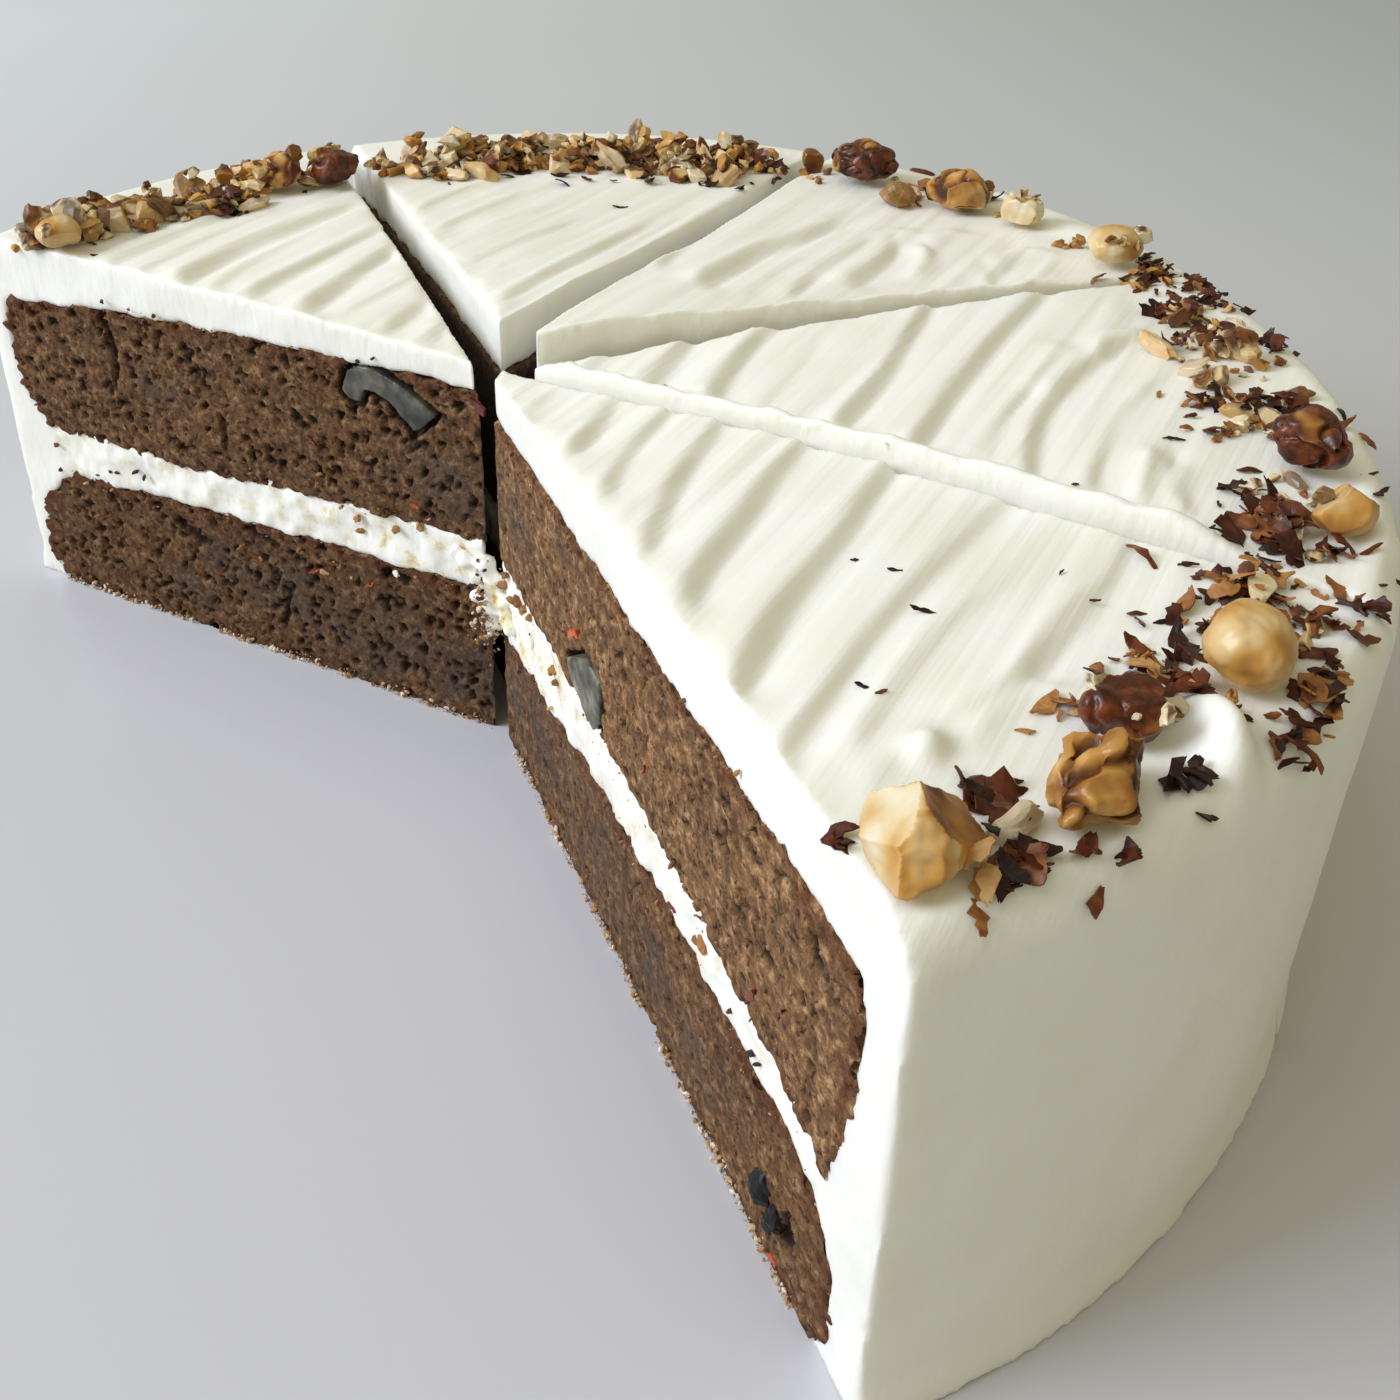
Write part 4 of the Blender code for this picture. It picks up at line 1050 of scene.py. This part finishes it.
# Single flakes: x, y, length, width, curl, bearing, how dark
SINGLES = (
    (69.2, -41.6, 6.4, 1.5, 4.5, -62, 0.6), (73.6, -43.4, 2.2, 0.9, 9.0, 10, 0.8),
    (78.9, -38.8, 4.4, 0.7, 5.0, -50, 0.9), (44.1, -54.6, 2.6, 0.9, 9.0, -20, 0.95),
    (41.9, -47.5, 1.6, 0.6, 9.0, -10, 0.9), (37.2, -67.0, 1.7, 0.8, 9.0, -30, 0.95),
    (38.8, -68.3, 1.3, 0.6, 9.0, 30, 0.5), (66.2, -52.7, 2.2, 1.0, 9.0, 12, 0.6),
    (68.1, -54.2, 1.7, 0.6, 9.0, 20, 1.0), (62.3, -50.9, 1.1, 0.5, 9.0, 0, 0.7),
    (59.7, -46.3, 1.0, 0.5, 9.0, 40, 0.8), (77.4, -38.1, 1.0, 0.6, 9.0, 40, 0.8),
    (79.1, -14.9, 2.6, 0.8, 9.0, 0, 1.0), (80.6, -30.4, 1.4, 0.7, 9.0, 80, 0.8),
    (84.8, -26.4, 2.2, 0.8, 9.0, -8, 0.3), (84.6, -24.6, 1.3, 0.9, 9.0, 30, 0.8),
    (86.2, -22.6, 2.8, 1.3, 6.0, -15, 0.8), (-8.3, 74.3, 3.2, 2.0, 5.0, 20, 1.0),
    (3.7, 60.5, 2.6, 0.9, 9.0, 0, 0.9), (-20.4, 75.6, 1.8, 1.0, 9.0, 15, 0.8),
    (12.6, 76.4, 1.8, 1.0, 9.0, 20, 0.8), (29.4, 76.4, 1.6, 1.2, 9.0, 0, 0.9),
    (37.8, -44.8, 0.9, 0.5, 9.0, 0, 0.8), (24.8, -76.9, 0.8, 0.4, 9.0, 0, 0.8),
    (14.9, -2.2, 0.7, 0.5, 9.0, 0, 0.8), (64.6, -27.4, 0.9, 0.5, 9.0, 10, 0.8),
    (87.3, -3.5, 1.0, 0.6, 9.0, 0, 0.6), (100.6, -21.6, 2.4, 0.8, 9.0, 20, 0.8),
    (100.4, -26.2, 3.2, 1.6, 4.0, 30, 0.9), (103.0, -5.4, 4.4, 0.8, 3.0, 85, 1.0),
    (97.4, -41.6, 1.6, 0.6, 9.0, -70, 0.9), (94.0, -44.6, 1.2, 0.5, 9.0, 20, 0.8),
    (100.0, 12.4, 2.8, 0.8, 4.0, 30, 1.0), (68.0, 72.0, 7.0, 2.6, 2.9, -50, 1.0),
    (51.6, -72.6, 1.8, 0.8, 9.0, 0, 0.3), (49.6, -79.4, 1.6, 1.2, 4.0, 0, 0.9),
    (-76.2, 29.6, 1.2, 0.5, 9.0, 20, 0.6), (-86.6, 47.4, 2.6, 0.8, 6.0, 40, 0.9),
    (33.2, -88.6, 6.2, 3.6, 6.0, 20, 0.55), (64.0, -79.2, 5.6, 3.0, 5.0, 48, 0.98),
    (71.6, -67.0, 7.6, 3.0, 5.0, -35, 1.0), (46.4, -81.6, 5.0, 2.6, 3.0, -50, 0.9),
    (53.0, -87.6, 4.6, 2.8, 4.0, 30, 0.55), (57.6, -86.4, 4.2, 2.4, 6.0, 20, 0.75),
    (41.4, -94.4, 6.4, 1.6, 8.0, 16, 0.15), (49.0, -88.6, 5.2, 3.0, 4.0, 15, 0.8),
    (76.0, -70.8, 4.6, 2.6, 5.0, 30, 0.7), (81.6, -66.0, 5.4, 2.2, 4.0, 70, 0.35),
    (58.0, -94.2, 3.0, 1.5, 9.0, 62, 0.95), (54.0, -69.4, 4.4, 2.2, 5.0, 40, 0.3),
)
flakes = Heap()
rng = random.Random(51)


def lay_flake(x, y, length, width, curl, bearing, dark, tilt, rise_limit=3.4):
    """Lay one flake on what is under it, at a small random tilt."""
    points, faces = flake(rng, length, width, curl)
    if rng.random() < 0.5:
        points = points * (1, -1, -1)
    lean = Matrix.Rotation(rng.uniform(-tilt, tilt), 3, "X") @ Matrix.Rotation(
        rng.uniform(-tilt, tilt), 3, "Y")
    turn = Matrix.Rotation(math.radians(bearing), 3, "Z")
    points = points @ np.array(turn @ lean).T
    rest = settle(x, y, max(0.6, length * 0.22), 0.5, rise_limit)
    if rest is None:
        return
    points += (x, y, rest - 0.55 * points[:, 2].min() + 0.12)
    if points[:, 2].max() < HIGHEST + 0.5:
        flakes.add(points, faces, dark=dark)


for x, y, length, width, curl, bearing, dark in SINGLES:
    lay_flake(x, y, length, width, curl, bearing, dark, 0.06)
for x, y, spread, count, least, most, pale, deep in CLUSTERS:
    for _ in range(int(1.35 * count)):
        length = least * 0.55 + (most - least * 0.55) * rng.random() ** 1.3
        lay_flake(rng.gauss(x, spread), rng.gauss(y, spread), length,
                  length * rng.uniform(0.45, 1.0), rng.uniform(1.6, 5.0) * rng.choice((1, -1)),
                  rng.uniform(0, 360), rng.uniform(pale, deep), 0.6)

# Walnut skin: thin, papery and dry, pinkish tan to almost black red-brown, veined finely
skin_look = Look("walnut_skin", Roughness=0.45, Specular_IOR_Level=0.28)
mottle = skin_look.noise(skin_look.where(), 600.0, 3.0)
mottled = skin_look.node("Math", {0: mottle, 1: 0.55, 2: -0.27}, operation="MULTIPLY_ADD")
darkness = skin_look.node("Math", {0: skin_look.kept("dark"), 1: mottled.outputs[0]},
                          operation="ADD")
papery = skin_look.ramp(darkness.outputs[0], (0.0, "D2B07A"), (0.3, "AC763E"), (0.58, "67341A"),
                        (0.82, "38160A"), (1.0, "1C0A06"))
skin_look.use("Base Color", papery)
flakes.build("walnut_skin_flakes", skin_look)

# Bits in the cut faces
# What the knife laid open besides crumb: carrot shreds, a raisin, dark and amber specks in the
# filling, crumbs clinging along the edges, and cream and crumbs smeared where the two cuts meet.


def on_cut(name, out, height, depth=0.0):
    """A place on a slice's open cut, in millimetres; depth is into the slice."""
    tip, along, inward = cut_frame(name, OPEN_CUTS[name])
    return np.append(tip + along * out + inward * depth, height)


def sliver(rng, length, width, slant, name):
    """A short bent strip lying on an open cut, slanted from the level."""
    points, faces = flake(rng, length, width, 4.0, 0.5)
    tip, along, inward = cut_frame(name, OPEN_CUTS[name])
    turn = math.radians(slant)
    level, upright = np.append(along, 0.0), np.array([0.0, 0.0, 1.0])
    axes = np.array([math.cos(turn) * level + math.sin(turn) * upright,
                     -math.sin(turn) * level + math.cos(turn) * upright, np.append(-inward, 0.0)])
    return points @ axes, faces


rng = random.Random(67)
shreds = Heap()
# Slice, out from the tip, height, length, width, slant and how red
for name, out, height, length, width, slant, red in (
        ("1", -0.6, 58.6, 3.0, 1.8, 60, 1.0), ("1", 30.0, 45.0, 1.4, 0.6, 30, 0.8),
        ("1", 22.0, 21.0, 2.2, 0.8, -35, 0.6), ("1", 33.0, 20.0, 2.6, 0.9, -30, 0.7),
        ("1", 56.0, 46.0, 1.5, 0.6, 20, 0.8), ("1", 12.0, 38.5, 1.6, 0.8, 10, 0.5),
        ("5", 31.8, 43.8, 3.4, 1.9, 40, 0.35), ("5", 63.9, 26.2, 2.6, 1.3, 20, 1.0),
        ("5", 93.1, 1.4, 2.2, 1.3, 10, 0.5), ("5", 84.0, 34.0, 3.4, 0.9, 75, 0.9),
        ("5", 90.0, 38.0, 2.6, 0.9, 60, 1.0), ("5", 72.0, 14.0, 2.2, 0.7, 20, 0.8),
        ("5", 47.0, 22.0, 1.8, 0.8, 15, 0.8), ("5", 55.0, 40.0, 1.6, 0.6, 70, 0.8)):
    points, faces = sliver(rng, length, width, slant, name)
    shreds.add(points + on_cut(name, out, height, 0.1), faces, red=red)
# Carrot: grated, baked soft and moist, orange where fresh and dark red where it caught the heat
carrot_look = Look("baked_carrot", Roughness=0.4)
carrot_look.use("Base Color", carrot_look.ramp(carrot_look.kept("red"), (0.3, "D2602A"),
                                               (0.6, "A8451F"), (1.0, "5E1C12")))
shreds.build("carrot_shreds", carrot_look)

raisins = Heap()
for out, height, size in ((89.6, 9.2, 4.8), (92.6, 8.0, 3.6), (91.4, 5.0, 2.8)):
    wrinkled = lump_ball * (1.0 + 0.35 * np.abs(grain(lump_ball, 0.45, out)))[:, None]
    points = wrinkled * 0.5 * size * (0.8, 0.8, 1.0) + on_cut("5", out, height, 0.9)
    raisins.add(points, lump_faces)
# Raisin: shrivelled, sticky and almost black
raisin_look = Look("raisin", Roughness=0.5, Specular_IOR_Level=0.3, Base_Color=linear("0E0A09"))
raisins.build("raisins", raisin_look)

specks = Heap()
# Slice, out from the tip, height, size and how pale: dark skin, brown, amber, then cream white
for name, out, height, size, pale in (
        ("1", 86.7, 29.6, 1.3, 0.35), ("1", 87.2, 24.5, 1.0, 0.2), ("1", 75.0, 27.4, 1.0, 0.05),
        ("1", 73.4, 27.6, 1.0, 0.05), ("1", 69.0, 29.0, 1.4, 0.1), ("1", 67.2, 28.4, 1.2, 0.2),
        ("1", 23.0, 33.2, 2.0, 0.55), ("1", 22.6, 31.0, 1.6, 0.55), ("1", 15.8, 33.2, 2.0, 0.5),
        ("1", 11.1, 35.2, 1.8, 0.6), ("1", 16.6, 24.8, 1.5, 0.95), ("1", 19.8, 60.9, 0.9, 0.0),
        ("1", 17.0, 62.0, 0.8, 0.0), ("1", 31.0, 20.6, 2.0, 0.6), ("1", 48.0, 20.2, 1.8, 0.5),
        ("1", 44.0, 19.2, 1.4, 0.5), ("5", 22.9, 30.7, 2.3, 0.55), ("5", 24.2, 29.6, 1.6, 0.5),
        ("5", 72.4, 29.2, 2.6, 0.5), ("5", 71.0, 28.2, 1.6, 0.4), ("5", 85.2, 26.3, 1.4, 0.05),
        ("5", 86.4, 26.0, 1.0, 0.05), ("5", 80.0, 27.0, 1.0, 0.2), ("5", 64.0, 24.4, 1.8, 0.3),
        ("5", 7.7, 31.9, 2.4, 0.4), ("5", 4.2, 30.1, 2.0, 0.5), ("5", 0.9, 30.6, 2.2, 0.45),
        ("5", 2.2, 33.2, 2.4, 0.4), ("5", 10.6, 32.6, 2.0, 0.5), ("5", 13.4, 33.2, 1.6, 0.55)):
    ball = chip_ball * (1.0 + 0.7 * grain(chip_ball, 0.8, out))[:, None]
    points = turned(ball * 0.42 * size * (1.2, 0.8, 0.5), rng)
    specks.add(points + on_cut(name, out, height, 0.1), chip_faces, pale=pale)
small_ball, small_faces = ball_mesh(5, 4)
# Crumbs along edges: slice, from and to, height, spread, number, how pale at least and at most
for name, start, end, height, spread, count, least, most in (
        ("1", 0.0, 92.0, 0.3, 0.6, 800, 0.5, 0.9), ("5", 4.0, 98.0, 0.3, 0.6, 900, 0.5, 0.9),
        ("1", 2.0, 72.0, 59.6, 0.5, 90, 0.2, 0.6), ("5", 6.0, 84.0, 57.4, 0.6, 50, 0.2, 0.5),
        ("1", 2.0, 90.0, 36.0, 1.2, 70, 0.3, 0.7), ("1", 2.0, 88.0, 24.0, 1.2, 70, 0.3, 0.7),
        ("5", 4.0, 96.0, 33.0, 1.6, 70, 0.3, 0.7), ("5", 4.0, 98.0, 24.0, 1.6, 70, 0.3, 0.7)):
    for _ in range(count):
        size = 0.20 + 0.9 * rng.random() ** 5.0
        points = turned(small_ball * 0.5 * size * (1.3, 0.8, 0.5), rng)
        out = rng.uniform(start, end)
        if noise.noise(Vector((out / 3.0, height, 7.0))) < rng.uniform(-0.5, 0.2):
            continue
        place = on_cut(name, out, height + rng.gauss(0.0, spread), rng.uniform(-0.5, 0.2))
        place[2] = max(place[2], 0.5 * size)
        specks.add(points + place, small_faces, pale=rng.uniform(least, most))
# Crumbs and dark bits where the two cuts meet, round this place
MEETING = (-11.0, -1.4, 24.5)
for _ in range(220):
    size = 0.3 + 1.1 * rng.random() ** 2.5
    ball = chip_ball * (1.0 + 0.9 * grain(chip_ball, 0.7, 9.0 * size))[:, None]
    points = turned(ball * 0.5 * size * (1.0, 0.7, 0.5), rng)
    place = [rng.gauss(middle, spread) for middle, spread in zip(MEETING, (1.4, 0.9, 3.6))]
    specks.add(points + place, chip_faces, pale=rng.choice((0.1, 0.2, 0.35, 0.5, 0.7, 0.85)))

# Crumbs and specks: dry flecks from nearly black walnut skin to amber crumb and white cream
speck_look = Look("crumbs_and_specks", Roughness=0.7)
speck_look.use("Base Color", speck_look.ramp(
    speck_look.kept("pale"), (0.0, "1C110C"), (0.25, "4A2A1A"), (0.55, "A8763C"),
    (0.75, "C9B294"), (1.0, "F2EFE4")))
specks.build("crumbs_and_specks", speck_look)

# Smear where the two cuts meet: lumps of cream in millimetres, x, y, height and radius
smear_lumps = ((-11.4, 0.0, 32.0, 2.0), (-10.2, -1.0, 29.6, 2.2), (-9.6, -1.6, 26.0, 2.2),
               (-11.0, -0.2, 25.4, 2.0), (-11.4, 0.2, 22.0, 1.7), (-9.9, -1.2, 22.4, 1.8),
               (-13.0, 1.0, 29.2, 1.8), (-14.6, 1.7, 31.8, 1.8), (-8.4, -3.2, 27.6, 1.8),
               (-10.8, -0.4, 19.2, 1.3), (-7.9, -4.4, 25.6, 1.6), (-13.2, 1.2, 25.6, 1.4),
               (-16.4, 2.4, 32.6, 1.4), (-7.2, -5.8, 24.6, 1.3))
lumps = []
for x, y, height, radius in smear_lumps:
    bpy.ops.mesh.primitive_ico_sphere_add(subdivisions=2, radius=radius * MM,
                                          location=(x * MM, y * MM, height * MM))
    lumps.append(bpy.context.active_object)
for lump in lumps:
    lump.select_set(True)
bpy.ops.object.join()
smear = bpy.context.active_object
bpy.ops.object.transform_apply(location=True, rotation=True, scale=True)
smear.name = "smear_of_cream"
remesh(smear, 0.35 * MM)
points, normals = read_points(smear)
rough = 0.3 * grain(points, 1.3, 91.0) + 0.5 * grain(points, 2.8, 93.0) - 0.35
points += normals * rough[:, None]
write_points(smear, points)
even_out(smear, 6)
keep_value(smear, "filling", np.full(len(points), 1.0))
smear.data.materials.append(cream_look.material)
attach(smear, "root")

# Floor, light and camera
# A pale floor, painted lighter far off on the window side and darker to the right as painted light
# and shade, a soft window light from the left, and the camera close above the cake.
bpy.ops.object.select_all(action="DESELECT")
bpy.ops.mesh.primitive_circle_add(vertices=96, radius=3.0, fill_type="NGON")
floor = bpy.context.active_object
floor.name = "floor"
floor_look = Look("pale_board", Roughness=0.34)
where = floor_look.where()
far = floor_look.node("VectorMath", {0: where}, operation="LENGTH").outputs["Value"]
sideways = floor_look.node("SeparateXYZ", {0: where}).outputs["X"]
# Far off, the floor takes a bluer tint, and it is painted lighter towards the window on the left
# and darker to the right, as painted light and shade
far_tint_and_light = floor_look.ramp(floor_look.span(sideways, -0.45, 0.40), (0.0, "E0EAF4"),
                             (0.5, "D2DAE2"), (1.0, "AEB8BF"))
distant = floor_look.span(far, 0.16, 0.52)
floor_look.use("Base Color", floor_look.mix(distant, "C8C8CE", far_tint_and_light))
floor.data.materials.append(floor_look.material)

world = bpy.data.worlds.new("soft_room")
bpy.context.scene.world = world
world.use_nodes = True
background = world.node_tree.nodes["Background"]
background.inputs["Color"].default_value = (1.0, 0.925, 0.62, 1.0)
background.inputs["Strength"].default_value = 0.425
bpy.context.scene.view_settings.view_transform = "Standard"


def add_lamp(name, bearing, rise, distance, size, power, colour):
    """A square soft light that looks at the cake."""
    lamp = bpy.data.lights.new(name, "AREA")
    lamp.size = size
    lamp.energy = power
    lamp.color = colour
    holder = bpy.data.objects.new(name, lamp)
    bpy.context.scene.collection.objects.link(holder)
    holder.location = distance * Vector(facing(bearing, rise))
    holder.rotation_euler = (-holder.location).to_track_quat("-Z", "Y").to_euler()


add_lamp("window", 194.0, 33.0, 1.60, 0.70, 20.6, (0.925, 0.985, 1.15))
add_lamp("ceiling", 206.0, 64.0, 1.4, 0.8, 4.0, (0.90, 0.97, 1.08))

camera = bpy.data.cameras.new("camera")
camera.sensor_width = 36.0
camera.lens = 36.466
camera.shift_x = 0.0357
camera.shift_y = -0.1286
camera.clip_start = 0.005
camera_holder = bpy.data.objects.new("camera", camera)
bpy.context.scene.collection.objects.link(camera_holder)
right, down, ahead = ((0.99785, 0.06357, 0.01570), (0.04727, -0.53327, -0.84462),
                      (-0.04532, 0.84355, -0.53513))
place = (0.02242, -0.17370, 0.15166)
camera_holder.matrix_world = Matrix(
    [(right[row], -down[row], -ahead[row], place[row]) for row in range(3)] + [(0, 0, 0, 1)])
bpy.context.scene.camera = camera_holder

bpy.context.view_layer.update()
